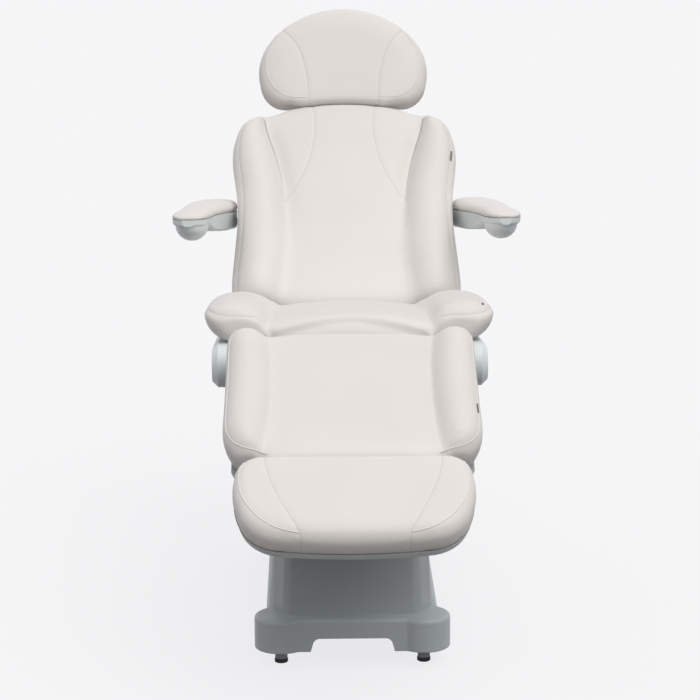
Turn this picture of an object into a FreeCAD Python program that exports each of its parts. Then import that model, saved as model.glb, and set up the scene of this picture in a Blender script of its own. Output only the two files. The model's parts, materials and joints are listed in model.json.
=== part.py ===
import FreeCAD, Part
import math
import os

V = FreeCAD.Vector
AXIS_X = V(1, 0, 0)

# Working angles of the padded parts in degrees from level, as the chair stands
SEAT_TILT = 6.4
BACK_ANGLE = 47.0
LEG_ANGLE = 30.0
HEAD_ANGLE = 60.0
ARM_RISE = 5.7

# Padded parts: lengths along each part, half widths across it
SEAT_LENGTH = 408.0
SEAT_HALF = 321.0
SEAT_PANEL = 178.0
SEAT_PAD = 85.0
NOSE = 14.0
SEAT_BOLSTER_RISE = 38.0
SEAT_BOLSTER_BASE = 58.0
BACK_LENGTH = 580.0
BACK_HALF = 273.0
BACK_PAD = 95.0
BACK_WING_RISE = 28.0
LEG_LENGTH = 372.0
LEG_HALF = 268.0
LEG_PAD = 95.0
LEG_BOLSTER_RISE = 25.0
LEG_LEDGE = 16.0
LEDGE_IN = 190.0
FOOT_LENGTH = 230.0
FOOT_HALF = 244.0
FOOT_PAD = 64.0
FOOT_RISE = 20.0
HEAD_HEIGHT = 265.0
HEAD_HALF = 211.0
HEAD_PAD = 85.0
PANEL_GAP = 0.6
CURVED_GAP = 3.0
PAD_GAP = 4.0
HEAD_SINK = 1.0

# Armrests
ARM_LENGTH = 394.0
ARM_INNER = 262.0
ARM_OUTER = 388.0
ARM_SWEEP = 62.0
ARM_FLARE = 18.0
ARM_TOP = 28.0
ARM_PAD = 29.0
ARM_LIP = 15.0
ARM_REAR = 24.0
ARM_HULL = 305.0
ARM_HULL_REACH = 82.0
ARM_HULL_DEEP = 37.0
ARM_PIVOT = (296.0, -BACK_PAD - 15.0)
ARM_PIN = 9.0

# Seat frame levels below the seat plane, and the seat's rear top edge in the chair's layout
SEAT_REAR = (115.0, 680.5)
PLATE = 10.0
SEAT_RAIL = -SEAT_PAD - PLATE
BACK_RAIL = -BACK_PAD
LEG_RAIL = -LEG_PAD
RAIL_DEEP = 35.0
RAIL_IN = 206.0
RAIL_OUT = 236.0
LUG_OUT = RAIL_OUT - 2.0
LUG_IN = LUG_OUT - 12.0
LUG_R = 22.0
PIN_R = 10.0
RUN = 0.05
LEG_HINGE = (1.0 - SEAT_LENGTH, SEAT_RAIL + 3.5)
BACK_HINGE = (50.0, SEAT_RAIL + 25.0)
HINGE_IN_LEG = (39.0, LEG_RAIL - 11.0)
HINGE_IN_BACK = (-47.0, -53.0)
CROSS_R = 16.0
CROSS_W = SEAT_RAIL - CROSS_R - 0.5
CROSS_FRONT = (108.0 - SEAT_LENGTH, CROSS_W)
CROSS_REAR = (-60.0, CROSS_W)
BACK_TAIL = CROSS_FRONT[0] + CROSS_R + 1.0
TILT_DROP = 48.0
SPINE_IN = 98.0
SPINE_OUT = 110.0

# Side covers under the seat bolsters
COVER_IN = RAIL_OUT + PLATE
COVER_OUT = COVER_IN + 54.0
COVER_R = 48.0
COVER_W = SEAT_RAIL - 13.0
COVER_EDGE = 13.0
COVER_CAP = 30.0

# Actuators: each pushes a lever pin that rides in a slot across its rod
LEVER = 80.0
ACT_X = 60.0
ACT_R = 18.0
ROD_R = 9.0
LEVER_PIN = 8.0
FORK_IN = 10.0
FORK_OUT = 16.0
SLOT_SLACK = 1.2
LEG_MID = 8.2
BACK_MID = 16.7
LEG_SLOT_SHIFT = 0.4
BACK_SLOT_SHIFT = 0.0105 * LEVER
LEG_ROD_W = LEG_HINGE[1] - LEVER + 5.0
BACK_ROD_W = BACK_HINGE[1] - LEVER + 8.0
SHELL_FLOOR = LEG_ROD_W - ACT_R - 15.5

# Base, pedestal and lifting column
FOOT_X = 154.0
FOOT_FRONT = -460.0
FOOT_REAR = 300.0
FOOT_R = 14.5
STEM_R = 6.0
PAD_H = 9.0
BOSS_LOW = 44.0
LOBE_R = 57.0
LOBE_LOW = 35.0
ARCH_Z = 65.0
ARCH_HALF = 82.0
ARCH_FLARE = 24.0
ARCH_ROUND = 15.0
BASE_TOP = 108.0
LOBE_ROUND = 9.0
LOBE_BLEND = 12.0
RIM_ROUND = 3.0
SKIN = 4.0
BASE_HALF = 186.0
BASE_OVER = 44.0
FRAME_LOW = 66.0
FRAME_TOP = 97.0
PED_HALF = 172.5
PED_TOP_HALF = 166.0
PED_FRONT = -467.0
PED_REAR = 262.0
PED_TOP_FRONT = -376.0
PED_TOP_REAR = 205.0
PED_TOP = 330.0
PED_CHAMFER = (27.0, 64.0)
PED_ROUND = 22.0
SLEEVE_GAP = 0.8
SLEEVE_WALL = 3.0
COLUMN_Y = -90.0
COLUMN_X = 45.0
COLUMN_D = 55.0
COLUMN_WALL = 5.0
COLUMN_GAP = 0.6
HEAD_PLATE = SEAT_REAR[1] + SHELL_FLOOR + 1.5
HEAD_PLATE_T = 12.0
ROOF_DROP = 24.0
MID_LOW = 170.0
MID_TOP = HEAD_PLATE - 70.0
TOP_LOW = MID_LOW + 66.0
TILT = (-90.0, HEAD_PLATE + 42.0)
TILT_R = 12.0
TILT_LUG_IN = 84.0
TILT_LUG_OUT = 97.0

# Leg frame, foot slide and headrest guides
LEG_RAIL_IN = 200.0
BAR_T = 12.0
SLIDE_X = 90.0
SLIDE_W = 20.0
SLIDE_T = 16.0
GUIDE_WALL = 4.0
SLIDE_RUN = 0.3
POST_X = 70.0
POST_R = 8.0
POST_W = BACK_RAIL - 17.0
POST_TOP = 53.0

# Distance that moves the layout to the middle of the chair's length
ORIGIN_Y = -80.2


def frame(y, z, angle):
    """Placement of a part that is turned about X and starts at (y, z)."""
    return FreeCAD.Placement(V(0, y, z), FreeCAD.Rotation(AXIS_X, angle))


def world(fr, point):
    p = fr.multVec(V(0, point[0], point[1]))
    return (p.y, p.z)


def local(fr, point):
    p = fr.inverse().multVec(V(0, point[0], point[1]))
    return (p.y, p.z)


def frame_on(pivot, inside, angle):
    """Frame of the given angle in which the layout point `pivot` reads as `inside`."""
    turned = frame(0, 0, angle).multVec(V(0, inside[0], inside[1]))
    return frame(pivot[0] - turned.y, pivot[1] - turned.z, angle)


SEAT = frame(SEAT_REAR[0], SEAT_REAR[1], -SEAT_TILT)
LEG = frame_on(world(SEAT, LEG_HINGE), HINGE_IN_LEG, LEG_ANGLE)
BACK = frame_on(world(SEAT, BACK_HINGE), HINGE_IN_BACK, BACK_ANGLE)
HEAD_START = world(BACK, (BACK_LENGTH - HEAD_SINK, 0))
HEAD = frame(HEAD_START[0], HEAD_START[1], HEAD_ANGLE)
ARM_AT = world(BACK, ARM_PIVOT)
ARM = frame(ARM_AT[0], ARM_AT[1], -ARM_RISE)
HEAD_PIVOT = (BACK_LENGTH + POST_TOP, POST_W)
BACK_SHOULDER = 0.76 * BACK_LENGTH


def turned(r, degrees):
    """Offset of a lever of length r that hangs straight down at 0 degrees."""
    a = math.radians(degrees)
    return (r * math.sin(a), -r * math.cos(a))


LEG_PIN_AT = tuple(h + d for h, d in zip(LEG_HINGE, turned(LEVER, LEG_MID)))
BACK_PIN_AT = tuple(h + d for h, d in zip(BACK_HINGE, turned(LEVER, BACK_MID)))


def at_y(y):
    return lambda a, b: V(a, y, b)


def at_z(z):
    return lambda a, b: V(a, b, z)


def outline(plane, start, moves):
    """Closed wire: a move of one point is a line, a move of two points is an arc."""
    edges = []
    here = start
    for move in moves:
        if len(move) == 1:
            edges.append(Part.makeLine(plane(*here), plane(*move[0])))
        else:
            edges.append(Part.Arc(plane(*here), plane(*move[0]), plane(*move[1])).toShape())
        here = move[-1]
    return Part.Wire(edges)


def rounded(plane, points, radius):
    """Closed polygon with every corner rounded to the same radius."""
    moves = []
    count = len(points)
    for i in range(count):
        p = V(points[i][0], points[i][1], 0)
        before = V(points[i - 1][0], points[i - 1][1], 0) - p
        after = V(points[(i + 1) % count][0], points[(i + 1) % count][1], 0) - p
        before.normalize()
        after.normalize()
        half = before.getAngle(after) / 2
        reach = radius / math.tan(half)
        middle = before + after
        middle.normalize()
        deep = radius / math.sin(half) - radius
        enter = p + before * reach
        leave = p + after * reach
        top = p + middle * deep
        moves.append(((enter.x, enter.y), (top.x, top.y), (leave.x, leave.y)))
    path = []
    for enter, top, leave in moves:
        path.append((enter,))
        path.append((top, leave))
    return outline(plane, moves[-1][2], path)


def slab(wire, x=0, y=0, z=0):
    return Part.Face(wire).extrude(V(x, y, z))


def loft(wires, ruled=False):
    return Part.makeLoft(wires, True, ruled)


def box(x0, x1, y0, y1, z0, z1):
    return Part.makeBox(x1 - x0, y1 - y0, z1 - z0, V(x0, y0, z0))


def bar(x0, x1, point, r):
    return Part.makeCylinder(r, x1 - x0, V(x0, point[0], point[1]), AXIS_X)


def link(x0, x1, p, q, r):
    """Flat plate with round ends about two points, from x0 to x1."""
    along = V(q[0] - p[0], q[1] - p[1], 0)
    angle = math.degrees(math.atan2(along.y, along.x))
    middle = Part.makeBox(along.Length, 2 * r, x1 - x0, V(0, -r, 0))
    plate = middle.fuse([Part.makeCylinder(r, x1 - x0),
                         Part.makeCylinder(r, x1 - x0, V(along.Length, 0, 0))]).removeSplitter()
    turn = FreeCAD.Rotation(V(0, 0, 1), angle)
    upright = FreeCAD.Rotation(V(1, 1, 1), 120)
    plate.Placement = FreeCAD.Placement(V(x0, p[0], p[1]), upright.multiply(turn))
    return plate


def mirrored(shape):
    return shape.mirror(V(0, 0, 0), AXIS_X)


def both(shape):
    return [shape, mirrored(shape)]


def fused(shapes):
    return shapes[0].fuse(shapes[1:]).removeSplitter()


def group(shapes):
    return Part.makeCompound(shapes)


def placed(shape, fr):
    moved = shape.copy()
    moved.Placement = fr.multiply(moved.Placement)
    return moved


def between(points, at):
    """Value at `at` on the line through (place, value) points, held at the ends."""
    if at <= points[0][0]:
        return points[0][1]
    for (p, a), (q, b) in zip(points, points[1:]):
        if at <= q:
            return a + (b - a) * (at - p) / (q - p)
    return points[-1][1]


def panel_section(y, half, base, edge, crown):
    """Middle panel cut across: flat base, straight sides, crowned top."""
    return outline(at_y(y), (-half, base), [((half, base),), ((half, edge),),
                                            ((0, crown), (-half, edge)), ((-half, base),)])


def trimmed(shape, half, base):
    """Cushion cut off level at its base and at the sides of its bed."""
    return shape.common(box(-half, half, -2 * BACK_LENGTH, 2 * BACK_LENGTH, base, -2 * base))


def side_section(y, inner, foot, outer, base, rim, crown, edge):
    """Bolster cut across: flat base, bulging outer side, crowned top and a straight inner side."""
    bulge = (foot + (outer - foot) * 0.79, base + (rim - base) * 0.4)
    top = (inner + (outer - inner) * 0.52, crown)
    return outline(at_y(y), (inner, base), [((foot, base),), (bulge, (outer, rim)),
                                            (top, (inner, edge)), ((inner, base),)])


def base_frame():
    parts = []
    for side in (-1, 1):
        x = side * FOOT_X
        parts.append(box(x - 20, x + 20, FOOT_FRONT - 24, FOOT_REAR + 24, FRAME_LOW, FRAME_TOP))
        for y in (FOOT_FRONT, FOOT_REAR):
            parts.append(Part.makeCylinder(18, FRAME_TOP - BOSS_LOW, V(x, y, BOSS_LOW)))
    for y in (FOOT_FRONT + 45, FOOT_REAR - 45):
        parts.append(box(-FOOT_X, FOOT_X, y - 20, y + 20, FRAME_LOW, FRAME_TOP))
    parts.append(box(-FOOT_X, FOOT_X, COLUMN_Y - 90, COLUMN_Y + 90, FRAME_TOP - 10, FRAME_TOP))
    parts.append(box(-FOOT_X, FOOT_X, COLUMN_Y + 140, COLUMN_Y + 310, FRAME_LOW, FRAME_LOW + 4))
    body = fused(parts)
    bores = [Part.makeCylinder(STEM_R + RUN, FRAME_TOP, V(side * FOOT_X, y, BOSS_LOW))
             for side in (-1, 1) for y in (FOOT_FRONT, FOOT_REAR)]
    return body.cut(bores)


def foot_stem(x, y):
    stud = Part.makeCylinder(STEM_R, FRAME_TOP - PAD_H - 10, V(x, y, PAD_H))
    disc = Part.makeCylinder(FOOT_R - 1, 13, V(x, y, PAD_H))
    disc = disc.makeChamfer(1.5, [disc.Edges[0]])
    nut = hexagon(x, y, 11, BOSS_LOW - 12, 9)
    return fused([stud, disc, nut])


def hexagon(x, y, r, z, height):
    corners = [V(x + r * math.cos(math.radians(60 * i)), y + r * math.sin(math.radians(60 * i)), z)
               for i in range(7)]
    return Part.Face(Part.makePolygon(corners)).extrude(V(0, 0, height))


def foot_pad(x, y):
    pad = Part.makeCylinder(FOOT_R, PAD_H, V(x, y, 0))
    return pad.makeChamfer(1.2, [pad.Edges[0], pad.Edges[2]])


def base_corner(inset):
    """Front left corner of the base in plan: front wall, blend, lobe, blend, side wall."""
    foot = V(FOOT_X, FOOT_FRONT, 0)
    r = LOBE_R - inset
    blend = LOBE_BLEND + inset
    reach = r + blend
    over = BASE_OVER - inset
    half = BASE_HALF - inset

    def blend_arc(centre, wall):
        lobe = foot + (centre - foot) * (r / reach)
        toward = (wall - centre) + (lobe - centre)
        toward.normalize()
        return wall, centre + toward * blend, lobe

    x = FOOT_X - math.sqrt(reach ** 2 - (over + blend) ** 2)
    y = FOOT_FRONT + math.sqrt(reach ** 2 - (half + blend - FOOT_X) ** 2)
    front = blend_arc(V(x, FOOT_FRONT - over - blend, 0), V(x, FOOT_FRONT - over, 0))
    side = blend_arc(V(half + blend, y, 0), V(half, y, 0))
    tip = foot + V(r, -r, 0) * math.sqrt(0.5)
    return [(p.x, p.y) for p in front + (tip,) + side[::-1]]


def base_outline(plane, inset):
    """Base in plan: the corner and its three mirror images, joined by straight walls."""
    middle = FOOT_FRONT + FOOT_REAR
    corner = base_corner(inset)
    path = []
    for sx, sy in ((1, 1), (1, -1), (-1, -1), (-1, 1)):
        points = [(sx * x, y if sy > 0 else middle - y) for x, y in corner]
        if sx * sy < 0:
            points.reverse()
        path += [(points[0],), (points[1], points[2]), (points[3], points[4]), (points[5], points[6])]
    return outline(plane, path[-1][-1], path)


def tunnels(grow):
    """Openings under the base, along it and across it, grown by a wall thickness."""
    middle = (FOOT_FRONT + FOOT_REAR) / 2
    span = (FOOT_REAR - FOOT_FRONT) / 2 - BASE_OVER
    made = []
    long_run = V(0, 4 * (FOOT_REAR - FOOT_FRONT), 0)
    for half, flare, lean, plane, run in (
            (ARCH_HALF, ARCH_FLARE, 0, lambda a, b: V(a, 2 * FOOT_FRONT, b), long_run),
            (span, 0, middle, lambda a, b: V(-2 * BASE_HALF, a, b), V(4 * BASE_HALF, 0, 0))):
        h = half + grow
        top = ARCH_Z + grow
        corners = [(lean - h - flare, -20), (lean - h, top), (lean + h, top), (lean + h + flare, -20)]
        made.append(Part.Face(rounded(plane, corners, ARCH_ROUND + grow)).extrude(run))
    return made


def base_cover():
    body = slab(base_outline(at_z(LOBE_LOW), 0), z=BASE_TOP - LOBE_LOW)
    body = body.makeFillet(LOBE_ROUND, [e for e in body.Edges if e.BoundBox.ZMin > BASE_TOP - 1])
    body = body.makeFillet(RIM_ROUND, [e for e in body.Edges if e.BoundBox.ZMax < LOBE_LOW + 1])
    upper = slab(base_outline(at_z(ARCH_Z - 1), SKIN), z=BASE_TOP - SKIN - ARCH_Z + 1)
    lower = slab(base_outline(at_z(LOBE_LOW - 1), SKIN), z=ARCH_Z - LOBE_LOW + 1)
    rests = [Part.makeCylinder(9, BASE_TOP - 1 - FRAME_TOP, V(x, y, FRAME_TOP))
             for x in (-FOOT_X, FOOT_X) for y in (FOOT_FRONT + 62, FOOT_REAR - 62)]
    shell = fused([body.cut(tunnels(0) + [upper, lower.cut(tunnels(SKIN))])] + rests)
    rear = FOOT_REAR + BASE_OVER
    well = box(-COLUMN_X - 26, COLUMN_X + 26, COLUMN_Y - 82, COLUMN_Y + 82, BASE_TOP - SKIN - 2, BASE_TOP + 2)
    socket = box(-26, 26, rear - SKIN - 1, rear + 1, 68, 98)
    return shell.cut([well, socket])


def pedestal_outline(plane, half, front, rear, inset):
    dx, dy = PED_CHAMFER
    h = half - inset
    f = front + inset
    r = rear - inset
    right = [(h - dx, f), (h, f + dy), (h, r - dy), (h - dx, r)]
    left = [(-x, y) for x, y in reversed(right)]
    return rounded(plane, right + left, PED_ROUND)


def pedestal_cover():
    def skin(inset, z0, z1):
        return loft([pedestal_outline(at_z(z0), PED_HALF, PED_FRONT, PED_REAR, inset),
                     pedestal_outline(at_z(z1), PED_TOP_HALF, PED_TOP_FRONT, PED_TOP_REAR, inset)], True)

    inner = skin(SKIN, BASE_TOP, PED_TOP)
    return skin(0, BASE_TOP, PED_TOP).cut(inner)


def sleeve(inset, z0, z1, floor, ceiling):
    """Straight cover sleeve with an end plate at its foot or head."""
    def prism(extra, a, b):
        wire = pedestal_outline(at_z(a), PED_TOP_HALF, PED_TOP_FRONT, PED_TOP_REAR, inset + extra)
        return slab(wire, z=b - a)

    inner = prism(SLEEVE_WALL, z0 + floor, z1 - ceiling)
    return prism(0, z0, z1).cut(inner)


def column_box(step, z0, z1, extra=0.0):
    grow = step * (COLUMN_WALL + COLUMN_GAP) + extra
    return box(-COLUMN_X - grow, COLUMN_X + grow,
               COLUMN_Y - COLUMN_D - grow, COLUMN_Y + COLUMN_D + grow, z0, z1)


def column(step, z0, z1):
    """Square column profile; each step fits over the one before it."""
    return column_box(step, z0, z1).cut(column_box(step, z0, z1, -COLUMN_WALL))


def middle_sleeve():
    shell = sleeve(SKIN + SLEEVE_GAP, MID_LOW, MID_TOP - 6, 6, 0)
    return shell.cut(column_box(1, MID_LOW - 1, MID_LOW + 7))


def tilt_rod_at():
    return world(SEAT, (CROSS_FRONT[0], CROSS_W - TILT_DROP))


def top_sleeve():
    inset = SKIN + 2 * SLEEVE_GAP + SLEEVE_WALL
    roof = HEAD_PLATE - ROOF_DROP
    shell = sleeve(inset, TOP_LOW + 4, roof, 0, SKIN)
    y = tilt_rod_at()[0]
    hole = Part.makeCylinder(ACT_R + 3, 20, V(0, y, roof - 10))
    return shell.cut([column_box(2, roof - 10, roof + 10), hole])


def lift_head():
    y = tilt_rod_at()[0]
    z = HEAD_PLATE + HEAD_PLATE_T
    plate = box(-TILT_LUG_OUT, TILT_LUG_OUT, y - 34, COLUMN_Y + COLUMN_D + 20, HEAD_PLATE, z)
    lug = box(TILT_LUG_IN, TILT_LUG_OUT, TILT[0] - 30, TILT[0] + 30, HEAD_PLATE, TILT[1])
    eye = bar(TILT_LUG_IN, TILT_LUG_OUT, TILT, 24)
    body = fused([plate] + both(fused([lug, eye])))
    bore = bar(-TILT_LUG_OUT - 1, TILT_LUG_OUT + 1, TILT, TILT_R + 0.01)
    rod = Part.makeCylinder(ROD_R + 1, 40, V(0, y, HEAD_PLATE - 10))
    return body.cut([bore, rod])


def tilt_pins():
    return group(both(bar(TILT_LUG_IN, SPINE_OUT, TILT, TILT_R)))


def tilt_actuator():
    y = tilt_rod_at()[0]
    length = 150.0
    tube = Part.makeCylinder(ACT_R, length, V(0, y, HEAD_PLATE - length))
    motor = box(-24, 24, y - 26, y + 26, HEAD_PLATE - length - 50, HEAD_PLATE - length)
    bore = Part.makeCylinder(ROD_R + RUN, length - 10, V(0, y, HEAD_PLATE - length + 10))
    return fused([tube, motor]).cut(bore)


def slotted_end(width, height, thick):
    """Rod end plate about the origin with a slot across the rod, thickness along X, rod along Y."""
    plate = box(-thick / 2, thick / 2, -width / 2, width / 2, -height / 2, height / 2)
    edges = [e for e in plate.Edges if abs(e.tangentAt(e.FirstParameter).x) > 0.9]
    plate = plate.makeFillet(6, edges)
    gap = LEVER_PIN + SLOT_SLACK
    slot = box(-thick, thick, -gap, gap, -height / 2 + 7, height / 2 - 7)
    return plate.cut(slot)


def tilt_actuator_rod():
    y, z = tilt_rod_at()
    end = slotted_end(42, 50, 12)
    end.Placement = FreeCAD.Placement(V(0, y, z), FreeCAD.Rotation(AXIS_X, 90))
    low = HEAD_PLATE - 110
    return fused([end, Part.makeCylinder(ROD_R, z - 17 - low, V(0, y, low))])


def seat_frame():
    low = SEAT_RAIL - RAIL_DEEP
    front = 36 - SEAT_LENGTH
    tilt_pin = (CROSS_FRONT[0], CROSS_W - TILT_DROP)
    pivot = local(SEAT, TILT)
    half = [
        box(RAIL_IN, RAIL_OUT, front, 0, low, SEAT_RAIL),
        link(RAIL_OUT, COVER_IN, (front + 30, CROSS_W), LEG_HINGE, LUG_R),
        link(RAIL_OUT, COVER_IN, (-40, CROSS_W), BACK_HINGE, LUG_R),
        box(SPINE_IN, SPINE_OUT, CROSS_FRONT[0], CROSS_REAR[0], CROSS_W - 13, CROSS_W + 12),
        link(SPINE_IN, SPINE_OUT, (pivot[0], CROSS_W - 14), pivot, 26),
        link(FORK_IN, FORK_OUT, CROSS_FRONT, tilt_pin, 13),
    ]
    parts = [p for h in half for p in both(h)]
    parts.append(bar(-RAIL_IN - 5, RAIL_IN + 5, CROSS_FRONT, CROSS_R))
    parts.append(bar(-RAIL_IN - 5, RAIL_IN + 5, CROSS_REAR, CROSS_R))
    parts.append(bar(-FORK_OUT, FORK_OUT, tilt_pin, LEVER_PIN))
    bores = [bar(-COVER_IN - 1, COVER_IN + 1, LEG_HINGE, PIN_R + 0.01),
             bar(-COVER_IN - 1, COVER_IN + 1, BACK_HINGE, PIN_R + 0.01),
             bar(-SPINE_OUT - 1, -SPINE_IN + 1, pivot, TILT_R + RUN),
             bar(SPINE_IN - 1, SPINE_OUT + 1, pivot, TILT_R + RUN)]
    return fused(parts).cut(bores)


def hinge_pins(point):
    return group(both(bar(LUG_IN - 3, COVER_IN, point, PIN_R)))


def actuator(x, w, mouth, tail, block, side):
    """Tube with a blind rod bore from its mouth, and a motor block against the frame spine."""
    lo, hi = min(mouth, tail), max(mouth, tail)
    tube = Part.makeCylinder(ACT_R, hi - lo, V(x, lo, w), V(0, 1, 0))
    xs = sorted((x - side * ACT_R, side * SPINE_IN))
    motor = box(xs[0], xs[1], block[0], block[1], w - ACT_R + 3, CROSS_W + 6)
    deep = 15 if tail > mouth else -15
    a, b = sorted((mouth, tail - deep))
    bore = Part.makeCylinder(ROD_R + RUN, b - a, V(x, a, w), V(0, 1, 0))
    return fused([tube, motor]).cut(bore)


def actuator_rod(x, w, pin_y, inner):
    """Rod along Y from its slotted end at pin_y to `inner` inside the tube."""
    end = slotted_end(2 * (LEVER_PIN + SLOT_SLACK + 9), 56, 12)
    end.translate(V(x, pin_y, w))
    edge = pin_y + (LEVER_PIN + SLOT_SLACK + 2) * (1 if inner > pin_y else -1)
    lo, hi = min(edge, inner), max(edge, inner)
    return fused([end, Part.makeCylinder(ROD_R, hi - lo, V(x, lo, w), V(0, 1, 0))])


def seat_pan():
    p = SEAT_PANEL
    base = -SEAT_PAD
    wing = -SEAT_BOLSTER_BASE
    over = RAIL_OUT - 4
    wall = p + PANEL_GAP / 2
    right = [(wall, base), (wall, wing), (over, wing), (over, wing - PLATE), (wall + PLATE, wing - PLATE),
             (wall + PLATE, base - PLATE)]
    points = right + [(-x, w) for x, w in reversed(right)]
    wire = outline(at_y(23 - SEAT_LENGTH), points[0], [(q,) for q in reversed(points)])
    return slab(wire, y=SEAT_LENGTH - 38)


def tray(plane_of, corners, radius, levels, wall):
    """Open tray: rounded outlines at (level, inset) pairs from rim to floor, hollowed to a wall."""
    def at(level, inset):
        mid = sum(y for _, y in corners) / len(corners)
        moved = [(x - math.copysign(inset, x), y - math.copysign(inset, y - mid)) for x, y in corners]
        return rounded(plane_of(level), moved, radius)

    outer = loft([at(level, inset) for level, inset in levels], True)
    hollow = [(level, inset + wall) for level, inset in levels]
    hollow[0] = (levels[0][0] + 1, hollow[0][1])
    hollow[-1] = (levels[-1][0] + wall, hollow[-1][1])
    return outer.cut(loft([at(level, inset) for level, inset in hollow], True))


def seat_shell():
    h = RAIL_IN - 3
    front = 63 - SEAT_LENGTH
    rear = 4
    corners = [(-h, front), (h, front), (h, rear), (-h, rear)]
    low = SEAT_RAIL - RAIL_DEEP
    shell = tray(at_z, corners, 26, [(SEAT_RAIL, 0), (SHELL_FLOOR + 30, 6), (SHELL_FLOOR, 34)], 3)
    pivot = local(SEAT, TILT)
    mouth = box(-SPINE_OUT - 14, SPINE_OUT + 14, front + 12, pivot[0] + 110, SHELL_FLOOR - 10, low - 20)
    reach = 24.0
    leg_slot = box(ACT_X - reach, ACT_X + reach, front - 10, front + 40, SHELL_FLOOR - 10, LEG_ROD_W + 34)
    back_slot = box(-ACT_X - reach, -ACT_X + reach, rear - 46, rear + 10, SHELL_FLOOR - 10, BACK_ROD_W + 34)
    tubes = [bar(-h - 5, h + 5, CROSS_FRONT, CROSS_R + 1), bar(-h - 5, h + 5, CROSS_REAR, CROSS_R + 1)]
    return shell.cut([mouth, leg_slot, back_slot] + tubes)


def seat_cushion():
    front = -SEAT_LENGTH - NOSE
    nose = [(front, -10, -SEAT_PAD + 8, -62, -42), (front + 9, -4, -SEAT_PAD + 1, -42, -18),
            (front + 26, 0, -SEAT_PAD, -26, 0), (front + 60, 0, -SEAT_PAD, -16, 6)]
    rear = [(-34, -8, -SEAT_PAD + 18, -13, -1), (-10, -10, -SEAT_PAD + 40, -20, -11), (0, -14, -SEAT_PAD + 41, -30, -24)]
    steps = 6
    pitch = (front + 60 + 70) / steps
    middle = [(-70 + pitch * (steps - 1 - i), -i, -SEAT_PAD, -12, 3) for i in range(steps)]
    stations = nose + middle + rear
    body = loft([panel_section(y, SEAT_PANEL + grow, base, edge, crown)
                 for y, grow, base, edge, crown in stations])
    return trimmed(body, SEAT_PANEL, -SEAT_PAD)


def seat_bolster():
    front = 8 - SEAT_LENGTH
    inner = SEAT_PANEL + PANEL_GAP
    foot = COVER_IN + 16
    rise = SEAT_BOLSTER_RISE
    base = -SEAT_BOLSTER_BASE
    stations = [(front, 26, 46, base + 12, -12, rise - 42), (front + 12, 16, 22, base + 4, -6, rise - 22),
                (front + 38, 8, 8, base, 0, rise - 6), (front + 90, 2, 1, base, 2, rise),
                (front / 2, 0, 0, base, 0, rise), (-95, 1, 2, base, -2, rise),
                (-50, 6, 10, base + 2, -6, rise - 8), (-26, 14, 26, base + 8, -12, rise - 26)]
    body = loft([side_section(y, inner, foot - tuck, SEAT_HALF - draw, low, rim, crown, min(-6, crown - 30))
                 for y, tuck, draw, low, rim, crown in stations])
    return trimmed(body, 2 * SEAT_HALF, base)


def side_cover():
    front = (28 - SEAT_LENGTH, COVER_W)
    rear = (30, COVER_W)
    plate = link(COVER_IN, COVER_OUT, front, rear, COVER_R)
    cap = bar(COVER_IN, COVER_OUT - 8, BACK_HINGE, COVER_CAP)
    outer = [e for e in plate.Edges if e.BoundBox.XMin > COVER_OUT - 1]
    plate = plate.makeChamfer(COVER_EDGE, outer)
    rim = [e for e in cap.Edges if e.BoundBox.XMin > COVER_OUT - 9]
    return fused([plate, cap.makeFillet(12, rim)])


def back_half(at):
    """Outer half width of the back at a fraction of its length."""
    shape = [(0, 1.0), (0.064, 1.0), (0.2, 0.978), (0.333, 0.956), (0.415, 0.948), (0.51, 0.952), (0.57, 0.963),
             (0.63, 0.981), (0.69, 1.0), (0.743, 1.0), (0.8, 0.985), (0.86, 0.937), (0.892, 0.896), (0.935, 0.8)]
    return BACK_HALF * between(shape, at)


def back_seam(at):
    """Half width of the back's middle panel at a fraction of its length."""
    shape = [(0, 0.574), (0.138, 0.541), (0.29, 0.519), (0.443, 0.526), (0.552, 0.548), (0.638, 0.585),
             (0.766, 0.652), (0.845, 0.704), (0.92, 0.735)]
    return BACK_HALF * between(shape, at)


def back_cushion():
    base = -BACK_PAD
    rows = [(-0.07, -12, 40, -44, -38), (-0.05, -6, 20, -26, -18), (-0.01, 0, 8, -12, -4), (0.07, 0, 0, -8, 0),
            (0.2, 0, 0, -8, 0), (0.35, 0, 0, -8, 1), (0.5, 0, 0, -8, 2), (0.65, 0, 0, -8, 2), (0.78, 0, 0, -9, 1),
            (0.87, 0, 0, -10, 1), (0.92, -6, 2, -13, -1), (0.95, -26, 5, -16, -3), (0.98, -62, 10, -20, -6),
            (1.0, -100, 18, -26, -12), (1.018, -150, 30, -36, -26)]
    body = loft([panel_section(BACK_LENGTH * at, back_seam(at) + grow, base + lift, edge, crown)
                 for at, grow, lift, edge, crown in rows])
    return trimmed(body, BACK_HALF, base)


def back_wing():
    base = -BACK_PAD
    rise = BACK_WING_RISE
    rows = [(-0.025, 24, 44, -20, rise - 44), (0.0, 12, 32, -14, rise - 22), (0.06, 3, 4, -10, rise - 5),
            (0.2, 0, 0, -10, rise), (0.35, 0, 0, -10, rise), (0.5, 0, 0, -10, rise), (0.65, 0, 0, -10, rise),
            (0.77, 0, 0, -10, rise - 1), (0.84, 0, 2, -12, rise - 4), (0.89, 3, 6, -16, rise - 11),
            (0.925, 7, 16, -24, rise - 24), (0.95, 12, 32, -38, rise - 46)]
    sections = []
    for at, draw, lift, rim, crown in rows:
        inner = back_seam(at) + CURVED_GAP
        outer = max(back_half(at) - draw, inner + 14)
        foot = inner + (outer - inner) * 0.8
        sections.append(side_section(BACK_LENGTH * at, inner, foot, outer, base + lift, rim, crown,
                                     min(-9, crown - 16)))
    return trimmed(loft(sections), 2 * BACK_HALF, base)


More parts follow.
